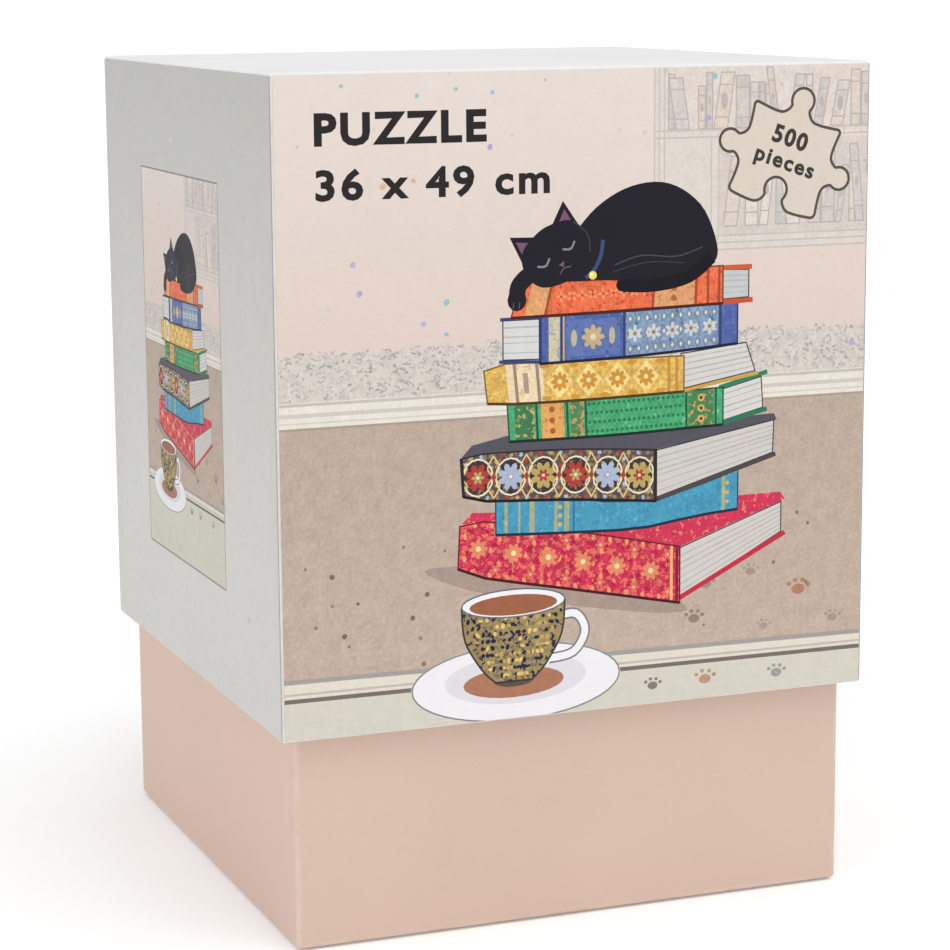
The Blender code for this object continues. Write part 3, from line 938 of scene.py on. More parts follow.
def knob_side(length, kind, steps):
    """One side of a puzzle piece from 0 to its length, with a knob (1), a socket (-1) or none (0)."""
    if kind == 0:
        return [(0.0, 0.0)]
    points = [(0.0, 0.0), (0.12, -0.018), (0.24, -0.03), (0.34, -0.024)]
    arc = []
    for step in range(steps):
        angle = math.radians(222 - 264 * step / (steps - 1))
        arc.append((0.5 + 0.125 * math.cos(angle), 0.145 + 0.125 * math.sin(angle)))
    points += arc + [(1 - x, y) for x, y in reversed(points[1:])]
    return [(x * length, y * length * kind) for x, y in points]


def piece_outline(width, length, kinds, steps):
    """A piece's outline about its centre, anticlockwise from its lower left corner."""
    corners = ((-1, -1), (1, -1), (1, 1), (-1, 1))
    outline = []
    for turn, kind in enumerate(kinds):
        corner_x = corners[turn][0] * width / 2
        corner_y = corners[turn][1] * length / 2
        cosine, sine = math.cos(turn * math.pi / 2), math.sin(turn * math.pi / 2)
        for along, out in knob_side(length if turn % 2 else width, kind, steps):
            outline.append((corner_x + cosine * along + sine * out, corner_y + sine * along - cosine * out))
    return outline


def badge(art):
    """The count of pieces, in an outlined puzzle piece that leans to the right."""
    outline = piece_outline(17.8, 16.1, (-1, 1, 1, 1), 12)
    ring = eased([leaned(x, y, BADGE_LEAN, (93.4, 95.2)) for x, y in outline], 3, 1.3)
    art.paint([ring], (218, 206, 192), 0.1)
    art.line(ring, 0.5, (84, 78, 70), closed=True)
    lettering(art, "500", 90.6, 98.5, 7.0, 3.3, BADGE_INK, 0.24, BADGE_LEAN)
    lettering(art, "pieces", 87.0, 94.6, 12.0, 3.6, BADGE_INK, 0.18, BADGE_LEAN)


def front_art():
    """The big panel: the picture, the plain words and the badge."""
    art = Art(WINDOW)
    picture(art)
    lettering(art, "PUZZLE", 7.3, 99.8, 30.3, 5.5, LETTER_INK, 0.42)
    lettering(art, "36 x 49 cm", 7.4, 90.8, 41.6, 5.3, LETTER_INK, 0.28)
    badge(art)
    return art


def side_art():
    """A narrow panel: plain paper painted darker towards the top as shade, with confetti, and the whole
    picture, small and darkened as painted shade, in a thin frame.
    """
    art = Art(WINDOW)
    # Painted shade: the paper runs darker from its lower part to its top
    paper = between((205, 202, 197), (186, 184, 179), 30, 112)
    art.paint([rectangle(0, 0, PANEL_WIDTH, PANEL_HEIGHT)], paper, 0.12)
    left, low, right, high = SIDE_FRAME

    def off_the_frame(x, y):
        """Whether a point is clear of the framed picture."""
        return not (left - 1 < x < right + 1 and low - 1 < y < high + 1)

    confetti(art, 70, 17, (3, 3, 107, 109), off_the_frame)
    # The small picture is drawn with darker inks, as painted shade
    art.place(SIDE_SCALE, SIDE_SHIFT, SIDE_FRAME, SIDE_PAINTED_SHADE)
    picture(art)
    art.place(1.0, (0.0, 0.0), WINDOW)
    art.line(rectangle(left, low, right, high), 0.3, (132, 128, 124), closed=True)
    return art


def colour_layer(mesh, name, values):
    """Store one colour for each corner of a mesh's faces."""
    layer = mesh.color_attributes.new(name, "FLOAT_COLOR", "CORNER")
    layer.data.foreach_set("color", values.astype(np.float32).ravel())


def triangulated(art, outline=None):
    """A panel's layers cut into triangles that each hold one ink, inside an outline if there is one."""
    points = []
    edges = []
    seen = {}
    rings = [ring for layer in art.layers for ring in layer.rings]
    for ring in rings + ([outline] if outline else []):
        numbers = []
        for x, y in ring:
            spot = (round(x, 4), round(y, 4))
            if spot not in seen:
                seen[spot] = len(points)
                points.append(Vector(spot))
            numbers.append(seen[spot])
        for a, b in zip(numbers, numbers[1:] + numbers[:1]):
            if a != b:
                edges.append((a, b))
    corners, _, faces = delaunay_2d_cdt(points, edges, [], 0, 1e-5, False)[:3]
    spots = np.array([tuple(corner) for corner in corners])
    triangles = np.array([face for face in faces if len(face) == 3])
    middles = spots[triangles].mean(1)
    if outline:
        within = inside_rings([outline], middles[:, 0], middles[:, 1])
        triangles = triangles[within]
        middles = middles[within]
    tops = art.layer_at(middles[:, 0], middles[:, 1])
    flat = spots[triangles].reshape(-1, 2)
    ink, fleck = art.inks(np.repeat(tops, 3), flat[:, 0], flat[:, 1])
    return spots, triangles, ink, fleck


def print_sheet(art, name, material):
    """The mesh of a panel's print, standing in the XZ plane and facing -Y."""
    spots, triangles, ink, fleck = triangulated(art)
    mesh = bpy.data.meshes.new(name)
    mesh.from_pydata([(x * MM, 0.0, y * MM) for x, y in spots], [], triangles.tolist())
    colour_layer(mesh, "ink", ink)
    colour_layer(mesh, "fleck", fleck)
    mesh.materials.append(material)
    return mesh


# ---------------------------------------------------------------- materials


class Nodes:
    """Short calls that build one material's node tree."""

    def __init__(self, name):
        self.material = bpy.data.materials.new(name)
        self.material.use_nodes = True
        self.tree = self.material.node_tree
        self.shader = self.tree.nodes["Principled BSDF"]
        self.output = self.tree.nodes["Material Output"]

    def add(self, kind, inputs=None, **settings):
        """A node with its settings, and its inputs linked or set."""
        node = self.tree.nodes.new(kind)
        for key, value in settings.items():
            setattr(node, key, value)
        for key, value in (inputs or {}).items():
            self.feed(node.inputs[key], value)
        return node

    def feed(self, socket, value):
        """Link a socket to an output, or set its value."""
        if isinstance(value, bpy.types.NodeSocket):
            self.tree.links.new(value, socket)
        else:
            socket.default_value = value

    def place(self):
        """The point on the object, in its own frame."""
        return self.add("ShaderNodeTexCoord").outputs["Object"]

    def noise(self, scale, detail=2.0, vector=None, roughness=0.5):
        """A noise value."""
        inputs = {"Vector": vector or self.place(), "Scale": scale, "Detail": detail, "Roughness": roughness}
        return self.add("ShaderNodeTexNoise", inputs).outputs["Fac"]

    def cells(self, scale):
        """A pattern of cells, as the distance to the nearest one's middle."""
        return self.add("ShaderNodeTexVoronoi", {"Vector": self.place(), "Scale": scale}).outputs["Distance"]

    def math(self, operation, a, b=0.0, clamp=False):
        """Arithmetic on two values."""
        return self.add("ShaderNodeMath", {0: a, 1: b}, operation=operation, use_clamp=clamp).outputs[0]

    def remap(self, value, low, high, to_low=0.0, to_high=1.0):
        """A value moved from one range to another, and held there."""
        inputs = {"Value": value, "From Min": low, "From Max": high, "To Min": to_low, "To Max": to_high}
        return self.add("ShaderNodeMapRange", inputs).outputs["Result"]

    def mix(self, share, a, b, blend="MIX"):
        """Two colours mixed."""
        node = self.add("ShaderNodeMix", data_type="RGBA", blend_type=blend)
        self.feed(node.inputs["Factor"], share)
        self.feed(node.inputs["A"], a if isinstance(a, bpy.types.NodeSocket) else (*a, 1.0))
        self.feed(node.inputs["B"], b if isinstance(b, bpy.types.NodeSocket) else (*b, 1.0))
        return node.outputs["Result"]

    def scaled(self, colour, factor):
        """A colour made lighter or darker by a value."""
        grey = self.add("ShaderNodeCombineColor", {"Red": factor, "Green": factor, "Blue": factor}).outputs[0]
        return self.mix(1.0, colour, grey, "MULTIPLY")

    def bump(self, height, distance, strength):
        """A normal from a height, in metres."""
        inputs = {"Height": height, "Distance": distance, "Strength": strength}
        return self.add("ShaderNodeBump", inputs).outputs["Normal"]

    def finish(self, colour, roughness, normal=None):
        """Feed the shader, and give the material back."""
        self.feed(self.shader.inputs["Base Color"], colour)
        self.feed(self.shader.inputs["Roughness"], roughness)
        if normal is not None:
            self.feed(self.shader.inputs["Normal"], normal)
        return self.material


def printed_paper(name, smoothest, roughest, coarse=1.0):
    """Printed paper: inks from the mesh, with a wash, flecks and the paper's own tooth."""
    nodes = Nodes(name)
    ink = nodes.add("ShaderNodeAttribute", attribute_name="ink")
    fleck = nodes.add("ShaderNodeAttribute", attribute_name="fleck")
    blot = nodes.noise(900 / coarse, 3, roughness=0.65)
    gate = nodes.math("SUBTRACT", 1.06, fleck.outputs["Alpha"])
    spread = nodes.remap(blot, 0.32, 0.68)
    shown = nodes.remap(nodes.math("SUBTRACT", spread, gate), 0.0, 0.10)
    colour = nodes.mix(shown, ink.outputs["Color"], fleck.outputs["Color"])
    broad = nodes.math("SUBTRACT", nodes.noise(380 / coarse, 3, roughness=0.6), 0.5)
    grain = nodes.math("SUBTRACT", nodes.noise(1500 / coarse, 3, roughness=0.7), 0.5)
    drift = nodes.math("SUBTRACT", nodes.noise(38, 2), 0.5)
    wash = nodes.math("ADD", broad, nodes.math("MULTIPLY", grain, 1.5))
    strength = nodes.math("MULTIPLY", ink.outputs["Alpha"], 1.1)
    change = nodes.math("ADD", nodes.math("MULTIPLY", wash, strength), nodes.math("MULTIPLY", drift, 0.04))
    colour = nodes.scaled(colour, nodes.math("ADD", change, 1.0))
    tooth = nodes.noise(3800, 2)
    colour = nodes.scaled(colour, nodes.remap(tooth, 0.2, 0.8, 0.975, 1.02))
    roughness = nodes.remap(nodes.noise(160, 3), 0.3, 0.7, smoothest, roughest)
    nodes.shader.inputs["Specular IOR Level"].default_value = 0.18
    return nodes.finish(colour, roughness, nodes.bump(tooth, 0.00002, 0.5))


def from_edges(nodes, place, half, low, high):
    """How far a place on the outside of a square box is from the box's nearest edge."""
    from_x = nodes.math("SUBTRACT", half, nodes.math("ABSOLUTE", place["X"]))
    from_y = nodes.math("SUBTRACT", half, nodes.math("ABSOLUTE", place["Y"]))
    from_high = nodes.math("SUBTRACT", high, place["Z"])
    from_end = nodes.math("MINIMUM", from_high, nodes.math("SUBTRACT", place["Z"], low))
    nearer = nodes.math("MINIMUM", from_x, from_y)
    farther = nodes.math("MAXIMUM", from_x, from_y)
    return nodes.math("MAXIMUM", nearer, nodes.math("MINIMUM", farther, from_end))


def wrap_paper(name, colour, wear_and_highlight, half, low, high, top_colour=None):
    """Wrapping paper on a square box: fibres, faint clouding, and edges made lighter, partly as rubbed wear
    and partly as a painted highlight.

    half is the box's half width, and low and high are its lowest and highest level. The paper may
    change its colour just below the highest.
    """
    nodes = Nodes(name)
    place = nodes.add("ShaderNodeSeparateXYZ", {"Vector": nodes.place()}).outputs
    if top_colour:
        colour = nodes.mix(nodes.remap(place["Z"], high - 0.0009, high - 0.0003), colour, top_colour)
    fibres = nodes.noise(2600, 3, roughness=0.6)
    clouds = nodes.noise(30, 3)
    specks = nodes.remap(nodes.cells(1500), 0.0, 0.12, 0.96, 1.0)
    base = nodes.scaled(colour, nodes.remap(clouds, 0.3, 0.7, 0.975, 1.02))
    base = nodes.scaled(base, nodes.remap(fibres, 0.2, 0.8, 0.97, 1.02))
    base = nodes.scaled(base, specks)
    # Lighter near the box's edges: partly rubbed wear, partly a painted highlight
    edge = nodes.remap(from_edges(nodes, place, half, low, high), 0.0002, 0.0011, 1.0, 0.0)
    rub_and_highlight = nodes.math("MULTIPLY", edge, nodes.remap(nodes.noise(240, 3), 0.35, 0.6))
    base = nodes.mix(nodes.math("MULTIPLY", rub_and_highlight, 0.5), base, wear_and_highlight)
    roughness = nodes.remap(clouds, 0.3, 0.7, 0.58, 0.68)
    nodes.shader.inputs["Specular IOR Level"].default_value = 0.3
    return nodes.finish(base, roughness, nodes.bump(fibres, 0.00003, 0.6))


def greyboard():
    """Raw recycled board: grey-brown, with pale and dark fibres."""
    nodes = Nodes("greyboard")
    stretched = nodes.add("ShaderNodeMapping", {"Vector": nodes.place(), "Scale": (1.0, 1.0, 3.0)}).outputs[0]
    fibres = nodes.noise(1400, 4, stretched, 0.7)
    base = nodes.mix(nodes.remap(fibres, 0.35, 0.65), linear((142, 136, 127)), linear((168, 161, 151)))
    dark = nodes.remap(nodes.cells(900), 0.05, 0.14, 1.0, 0.0)
    base = nodes.mix(nodes.math("MULTIPLY", dark, 0.35), base, linear((96, 90, 84)))
    base = nodes.scaled(base, nodes.remap(nodes.noise(60, 2), 0.3, 0.7, 0.94, 1.05))
    return nodes.finish(base, 0.9, nodes.bump(fibres, 0.00008, 0.7))


def gummed_tape():
    """Brown gummed paper tape."""
    nodes = Nodes("gummed_tape")
    fibres = nodes.noise(1800, 3)
    base = nodes.mix(nodes.remap(fibres, 0.3, 0.7), linear((176, 138, 98)), linear((196, 160, 118)))
    return nodes.finish(base, 0.7, nodes.bump(fibres, 0.00003, 0.5))


def piece_side():
    """The cut side of a piece: grey-blue board with fibres."""
    nodes = Nodes("piece_side")
    fibres = nodes.noise(2400, 3, roughness=0.7)
    base = nodes.mix(nodes.remap(fibres, 0.35, 0.65), linear((140, 144, 146)), linear((176, 176, 172)))
    return nodes.finish(base, 0.88, nodes.bump(fibres, 0.00006, 0.6))


def piece_back():
    """The back of a piece: plain grey-blue chipboard with fibres."""
    nodes = Nodes("piece_back")
    fibres = nodes.noise(1700, 4, roughness=0.72)
    base = nodes.mix(nodes.remap(fibres, 0.3, 0.7), linear((160, 170, 176)), linear((180, 188, 192)))
    dark = nodes.remap(nodes.cells(1100), 0.04, 0.12, 1.0, 0.0)
    base = nodes.mix(nodes.math("MULTIPLY", dark, 0.3), base, linear((104, 114, 124)))
    base = nodes.scaled(base, nodes.remap(nodes.noise(90, 2), 0.3, 0.7, 0.95, 1.04))
    return nodes.finish(base, 0.85, nodes.bump(fibres, 0.00004, 0.5))


def film_material(name, haze, vent=None):
    """Clear film: mostly see-through, brighter at grazing angles, with a soft crackle in its shine."""
    nodes = Nodes(name)
    tree = nodes.tree
    tree.nodes.remove(nodes.shader)
    ripple = nodes.noise(260, 4, roughness=0.6)
    normal = nodes.bump(ripple, 0.0005, 0.5)
    clear = nodes.add("ShaderNodeBsdfTransparent", {"Color": (0.985, 0.99, 0.995, 1.0)}).outputs[0]
    gloss = {"Color": (1.0, 1.0, 1.0, 1.0), "Roughness": 0.10, "Normal": normal}
    shine = nodes.add("ShaderNodeBsdfGlossy", gloss).outputs[0]
    milk = {"Color": (0.86, 0.88, 0.90, 1.0), "Normal": normal}
    milky = nodes.add("ShaderNodeBsdfDiffuse", milk).outputs[0]
    facing = nodes.add("ShaderNodeLayerWeight", {"Blend": 0.22, "Normal": normal}).outputs["Fresnel"]
    cloud = nodes.remap(nodes.noise(70, 3), 0.35, 0.7, haze * 0.6, haze * 1.3)
    body = nodes.add("ShaderNodeMixShader", {0: cloud, 1: clear, 2: milky}).outputs[0]
    sheen = nodes.math("ADD", nodes.math("MULTIPLY", facing, 0.85), 0.03, True)
    shown = nodes.add("ShaderNodeMixShader", {0: sheen, 1: body, 2: shine}).outputs[0]
    if vent:
        apart = nodes.add("ShaderNodeVectorMath", {0: nodes.place(), 1: vent}, operation="DISTANCE")
        hole = nodes.remap(apart.outputs["Value"], VENT_RADIUS - 0.00005, VENT_RADIUS + 0.00005, 1.0, 0.0)
        shown = nodes.add("ShaderNodeMixShader", {0: hole, 1: shown, 2: clear}).outputs[0]
    nodes.feed(nodes.output.inputs["Surface"], shown)
    return nodes.material


def floor_material():
    """The plain pale floor."""
    nodes = Nodes("pale_floor")
    soft = nodes.noise(6, 2)
    base = nodes.scaled((0.935, 0.935, 0.938), nodes.remap(soft, 0.3, 0.7, 0.995, 1.0))
    nodes.shader.inputs["Emission Color"].default_value = (1.0, 1.0, 1.0, 1.0)
    nodes.shader.inputs["Emission Strength"].default_value = 0.12
    return nodes.finish(base, 0.9)


# ---------------------------------------------------------------- the box


def wrap_shell(name, rings, closed_top, material):
    """Paper through a chain of rounded squares (half width, radius, height), laid against the board."""
    form = bmesh.new()
    rows = []
    for half, radius, height in rings:
        arcs = rounded_corners(half, half, radius, CORNER_STEPS)
        rows.append([form.verts.new((x, y, height)) for arc in arcs for x, y in arc])
    join_rows(form, rows[::-1], closed=True)
    if closed_top:
        form.faces.new(rows[0])
    wrap = object_from(form, name, material)
    solidify = wrap.modifiers.new("paper_thickness", "SOLIDIFY")
    solidify.thickness = PAPER
    solidify.offset = -1.0
    solidify.use_even_offset = True
    apply_modifiers(wrap)
    return wrap


def rounding(half, height, direction):
    """Rings over an edge, from the flat face to the wall, whose rounding starts at a height."""
    rings = []
    for step in range(EDGE_STEPS + 1):
        angle = math.pi / 2 * (1 - step / EDGE_STEPS)
        inset = EDGE_RADIUS * (1 - math.cos(angle))
        rise = direction * EDGE_RADIUS * math.sin(angle)
        rings.append((half - inset, CORNER_RADIUS - 0.9 * inset, height + rise))
    return rings


def over_rim(half, rim, direction):
    """Rings from the outer wall over the rim to the end of the turned-in paper."""
    inner = half - WALL
    rings = []
    for wall, bend, ring_radius in ((half, 1, CORNER_RADIUS), (inner, -1, INNER_RADIUS)):
        arc = []
        for step in range(4):
            angle = math.pi / 2 * step / 3
            inset = RIM_RADIUS * (1 - math.cos(angle))
            radius = max(0.0001, ring_radius - bend * inset)
            arc.append((wall - bend * inset, radius, rim - direction * RIM_RADIUS * (1 - math.sin(angle))))
        rings += arc if bend == 1 else arc[::-1]
    rings.append((inner, INNER_RADIUS, rim - direction * TURN_IN))
    return rings


def build_lid(materials):
    """The lid's paper wrap with its printed panels."""
    rings = rounding(LID_HALF, LID_HIGH.z - EDGE_RADIUS, 1) + over_rim(LID_HALF, LID_LOW.z, -1)
    wrap = wrap_shell("lid_wrap_paper", rings, True, materials["lid_paper"])
    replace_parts(wrap, "lid_wrap")
    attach(wrap, "lid")
    big = print_sheet(front_art(), "front_print", materials["print"])
    small = print_sheet(side_art(), "side_print", materials["print"])
    for name, mesh, quarter in (("front", big, 0), ("right", small, 1), ("back", big, 2), ("left", small, 3)):
        panel = new_object("lid_print_" + name, mesh)
        turned = Matrix.Rotation(quarter * math.pi / 2, 4, "Z")
        panel.matrix_world = turned @ Matrix.Translation((-LID_HALF, -LID_HALF - INK_LIFT, LID_LOW.z))
        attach(panel, "lid")


def build_base(materials):
    """The base's paper wrap."""
    rings = over_rim(BASE_HALF, BASE_HIGH.z, 1)[::-1]
    rings += rounding(BASE_HALF, BASE_LOW.z + EDGE_RADIUS, -1)[::-1]
    rings.append((BASE_HALF - TURN_UNDER, CORNER_RADIUS, BASE_LOW.z))
    wrap = wrap_shell("base_wrap_paper", rings, False, materials["base_paper"])
    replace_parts(wrap, "base_wrap")
    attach(wrap, "base")


def build_overlap(materials):
    """The strip where the base's paper laps over itself, at the back."""
    form = bmesh.new()
    low = BASE_LOW.z + 2 * EDGE_RADIUS
    high = BASE_HIGH.z - 2 * RIM_RADIUS
    inner = BASE_HALF - OVERLAP
    outer = BASE_HALF - 1.2 * CORNER_RADIUS
    rows = 30
    grid = []
    for row in range(rows + 1):
        z = low + (high - low) * row / rows
        cut = inner + 0.00025 * noise.noise(Vector((3.0, 9.0, 38 * z)))
        profile = ((outer, 0.3), (cut + 0.0003, 1.0), (cut, 0.85), (cut - 0.0001, -0.2))
        grid.append([form.verts.new((x, BASE_HALF + lift * LAP_THICKNESS, z)) for x, lift in profile])
    join_rows(form, grid)
    lap = object_from(form, "base_wrap_overlap", materials["base_paper"], 30)
    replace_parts(lap, "base_wrap")
    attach(lap, "base")


def dress_nodes(materials):
    """Materials for the CAD nodes that stay."""
    looks = {"greyboard": "board", "stay_tape": "tape", "base_paper": "base_paper"}
    slots = {row["node"]: row["material_slot"] for row in frame["record"]["subparts"]}
    for name, item in frame["nodes"].items():
        look = looks.get(slots[name])
        if look is None or item.hide_render:
            continue
        item.data.materials.clear()
        item.data.materials.append(materials[look])


# ---------------------------------------------------------------- puzzle pieces

# A piece and the whole puzzle, in millimetres, with the picture's scale and shift on it
PIECE_WIDTH = 18.0
PIECE_LENGTH = 19.6
PIECE_THICKNESS = 1.9
PRESSED_EDGE = 0.16
CUT_EDGE = 0.07
COLUMNS = 20
ROWS = 25
PUZZLE_SCALE = 3.93
PUZZLE_SHIFT = (-15.4 * PUZZLE_SCALE, 15.0 * PUZZLE_SCALE)

# The heap, and how deep inside it a piece has to lie for nothing to show of it
BASE_FLOOR = 0.0034
HEAP_HALF = 0.0474
HEAP_CORNER = 0.009
HEAP_TOP = 0.0858
HEAP_CHUNKS = 20
BURIED = 0.018

# The share of the pieces on top of the heap that lie face down, and of the ones below
LOOSE_FACE_DOWN = 0.3
FACE_DOWN = 0.42


def puzzle_art():
    """The puzzle's own picture, the same one as on the lid, at its full size."""
    window = (0.0, 0.0, COLUMNS * PIECE_WIDTH, ROWS * PIECE_LENGTH)
    art = Art(window)
    art.place(PUZZLE_SCALE, PUZZLE_SHIFT, window)
    picture(art)
    return art


def layer_boxes(art):
    """The lowest and highest corner of each layer."""
    boxes = []
    for layer in art.layers:
        points = np.concatenate([np.array(ring) for ring in layer.rings])
        boxes.append((*points.min(0), *points.max(0)))
    return np.array(boxes)


def fragment(art, boxes, ring, centre):
    """What a piece with this ring shows when its middle lies at centre in the picture."""
    outline = [(centre[0] + x, centre[1] + y) for x, y in ring]
    points = np.array(outline)
    low = points.min(0) - 0.5
    high = points.max(0) + 0.5
    window = (*low, *high)
    near = (boxes[:, 0] < high[0]) & (boxes[:, 2] > low[0]) & (boxes[:, 1] < high[1]) & (boxes[:, 3] > low[1])
    part = Art(window)
    for number in np.flatnonzero(near):
        layer = art.layers[number]
        kept = [shape for shape in (clipped(whole, window) for whole in layer.rings) if shape]
        if kept:
            part.layers.append(layer._replace(rings=kept))
    spots, triangles, ink, fleck = triangulated(part, outline)
    return spots - np.array(centre), triangles, ink, fleck


def plain_fragment(ring):
    """The print of a piece that nothing shows of: one pale ink."""
    outline = [tuple(point) for point in ring]
    part = Art((-PIECE_LENGTH, -PIECE_LENGTH, PIECE_LENGTH, PIECE_LENGTH))
    part.paint([outline], (222, 206, 194))
    return triangulated(part, outline)


def loop_around(triangles):
    """The corners round the outside of some triangles, in order."""
    sides = {(int(a), int(b)) for t in triangles for a, b in ((t[0], t[1]), (t[1], t[2]), (t[2], t[0]))}
    following = {a: b for a, b in sides if (b, a) not in sides}
    longest = []
    while following:
        start = min(following)
        loop = [start]
        step = following.pop(start)
        while step != start and step in following:
            loop.append(step)
            step = following.pop(step)
        if len(loop) > len(longest):
            longest = loop
    return longest


def offset_loop(points, distance):
    """A closed chain of points moved outward."""
    along = np.roll(points, -1, 0) - np.roll(points, 1, 0)
    along /= np.maximum(np.hypot(*along.T), 1e-9)[:, None]
    return points + distance * np.stack((along[:, 1], -along[:, 0]), 1)


def used_spots(spots, triangles):
    """The spots that some triangle uses, and the triangles by their new numbers."""
    used = np.unique(triangles)
    renumber = np.zeros(len(spots), int)
    renumber[used] = np.arange(len(used))
    return spots[used], renumber[triangles]


class Solids:
    """Vertices, faces and inks of many pieces, gathered for one mesh with three materials."""

    PRINTED, CUT, BACK = range(3)

    def __init__(self):
        self.vertices = []
        self.faces = []
        self.kinds = []
        self.inks = []
        self.flecks = []

    def keep(self, faces, kind, ink, fleck=None):
        """Note faces with their material and the inks of their corners."""
        self.faces += faces
        self.kinds += [kind] * len(faces)
        self.inks.append(ink)
        self.flecks.append(np.zeros(ink.shape) if fleck is None else fleck)

    def add(self, drawn, placed):
        """One piece: its print, a pressed edge, cut sides and a plain back, moved by a matrix."""
        spots, triangles, ink, fleck = drawn
        spots, triangles = used_spots(spots, triangles)
        loop = loop_around(triangles)
        rim = spots[loop]
        half = PIECE_THICKNESS / 2
        rows = (
            (offset_loop(rim, PRESSED_EDGE), half - 0.8 * PRESSED_EDGE),
            (offset_loop(rim, PRESSED_EDGE), CUT_EDGE - half),
            (offset_loop(rim, PRESSED_EDGE - CUT_EDGE), -half),
        )
        flat = [np.column_stack((spots, np.full(len(spots), half)))]
        flat += [np.column_stack((row, np.full(len(row), height))) for row, height in rows]
        corners = np.concatenate(flat) * MM
        corners = corners @ np.array(placed.to_3x3()).T + np.array(placed.translation)
        first = sum(len(part) for part in self.vertices)
        self.vertices.append(corners)
        self.keep((triangles + first).tolist(), self.PRINTED, ink, fleck)
        count = len(loop)
        above = [first + index for index in loop]
        rim_ink = {int(corner): ink[place] for place, corner in enumerate(triangles.ravel())}
        shade = np.array([rim_ink[index] for index in loop])
        after = np.roll(shade, -1, 0)
        pressed = np.stack((shade, shade, after, after), 1).reshape(-1, 4)
        for level in range(len(rows)):
            below = [first + len(spots) + level * count + index for index in range(count)]
            sides = []
            for index in range(count):
                following = (index + 1) % count
                sides.append((above[index], below[index], below[following], above[following]))
            if level == 0:
                self.keep(sides, self.PRINTED, pressed)
            else:
                self.keep(sides, self.CUT, np.ones((4 * count, 4)))
            above = below
        self.keep([tuple(reversed(above))], self.BACK, np.ones((count, 4)))

    def build(self, name, materials):
        """The object that holds the gathered pieces."""
        mesh = bpy.data.meshes.new(name)
        mesh.from_pydata(np.concatenate(self.vertices).tolist(), [], self.faces)
        for material in materials:
            mesh.materials.append(material)
        mesh.polygons.foreach_set("material_index", self.kinds)
        colour_layer(mesh, "ink", np.concatenate(self.inks))
        colour_layer(mesh, "fleck", np.concatenate(self.flecks))
        mesh.shade_smooth()
        mesh.set_sharp_from_angle(angle=math.radians(50))
        item = new_object(name, mesh)
        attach(item, "contents")
        return item


def puzzle_kinds(rng):
    """The kinds of the four sides of every piece, by column and row, each side meeting its match."""
    upright = {(c, r): rng.choice((-1, 1)) for c in range(COLUMNS - 1) for r in range(ROWS)}
    level = {(c, r): rng.choice((-1, 1)) for c in range(COLUMNS) for r in range(ROWS - 1)}
    kinds = {}
    for c in range(COLUMNS):
        for r in range(ROWS):
            kinds[c, r] = (
                -level.get((c, r - 1), 0),
                upright.get((c, r), 0),
                level.get((c, r), 0),
                -upright.get((c - 1, r), 0),
            )
    return kinds


# The heap is tumbled enlarged and in stronger gravity, so that thin pieces settle well and soon
TUMBLE_SCALE = 50.0
TUMBLE_GRAVITY = 29.4
TUMBLE_FRAMES = 260
PRESS_START = 130
PRESS_END = 215
BLOCK_THICKNESS = 0.05
BLOCK_FRICTION = 0.2
PIECE_FRICTION = 0.35
PIECE_MARGIN = 0.004
DROP_SIDE = 3
DROP_START = 0.02
DROP_SPACING = 0.029
DROP_STRAY = 0.002
DROP_RISE = 0.0105
DROP_LEAN = 0.3


def fixed_block(centre, size, turn=0.0):
    """A fixed block of the tumbling world, from its real place and size."""
    form = bmesh.new()
    bmesh.ops.create_cube(form, size=1.0)
    bmesh.ops.scale(form, vec=[TUMBLE_SCALE * value for value in size], verts=form.verts)
    item = bare_object(form, "block")
    item.location = [TUMBLE_SCALE * value for value in centre]
    item.rotation_euler.z = turn
    bpy.context.view_layer.objects.active = item
    bpy.ops.rigidbody.object_add(type="PASSIVE")
    item.rigid_body.collision_shape = "BOX"
    item.rigid_body.friction = BLOCK_FRICTION
    item.rigid_body.collision_margin = 0.0
    return item


def tumbling_box():
    """The floor, walls and corner walls of a box of the bag's size."""
    thick = BLOCK_THICKNESS
    blocks = [fixed_block((0, 0, BASE_FLOOR - thick / 2), (0.3, 0.3, thick))]
    across = HEAP_HALF + thick / 2
    reach = (HEAP_HALF - HEAP_CORNER) * math.sqrt(2) + HEAP_CORNER + thick / 2
    for quarter in range(4):
        angle = quarter * math.pi / 2
        middle = (across * math.cos(angle), across * math.sin(angle), 0.4)
        blocks.append(fixed_block(middle, (thick, 0.3, 1.4), angle))
        angle += math.pi / 4
        middle = (reach * math.cos(angle), reach * math.sin(angle), 0.4)
        blocks.append(fixed_block(middle, (thick, 0.1, 1.4), angle))
    return blocks


def press_plate():
    """The plate that waits above the box and then presses the heap's top level."""
    half = BLOCK_THICKNESS / 2
    plate = fixed_block((0, 0, HEAP_TOP + 0.2 + half), (0.094, 0.094, BLOCK_THICKNESS))
    plate.rigid_body.kinematic = True
    waiting = HEAP_TOP + 0.9
    near = HEAP_TOP + 0.06 + half
    down = HEAP_TOP + half
    for when, height in ((1, waiting), (PRESS_START - 1, waiting), (PRESS_START, near), (PRESS_END, down)):
        plate.location.z = TUMBLE_SCALE * height
        plate.keyframe_insert("location", frame=when)
    return plate


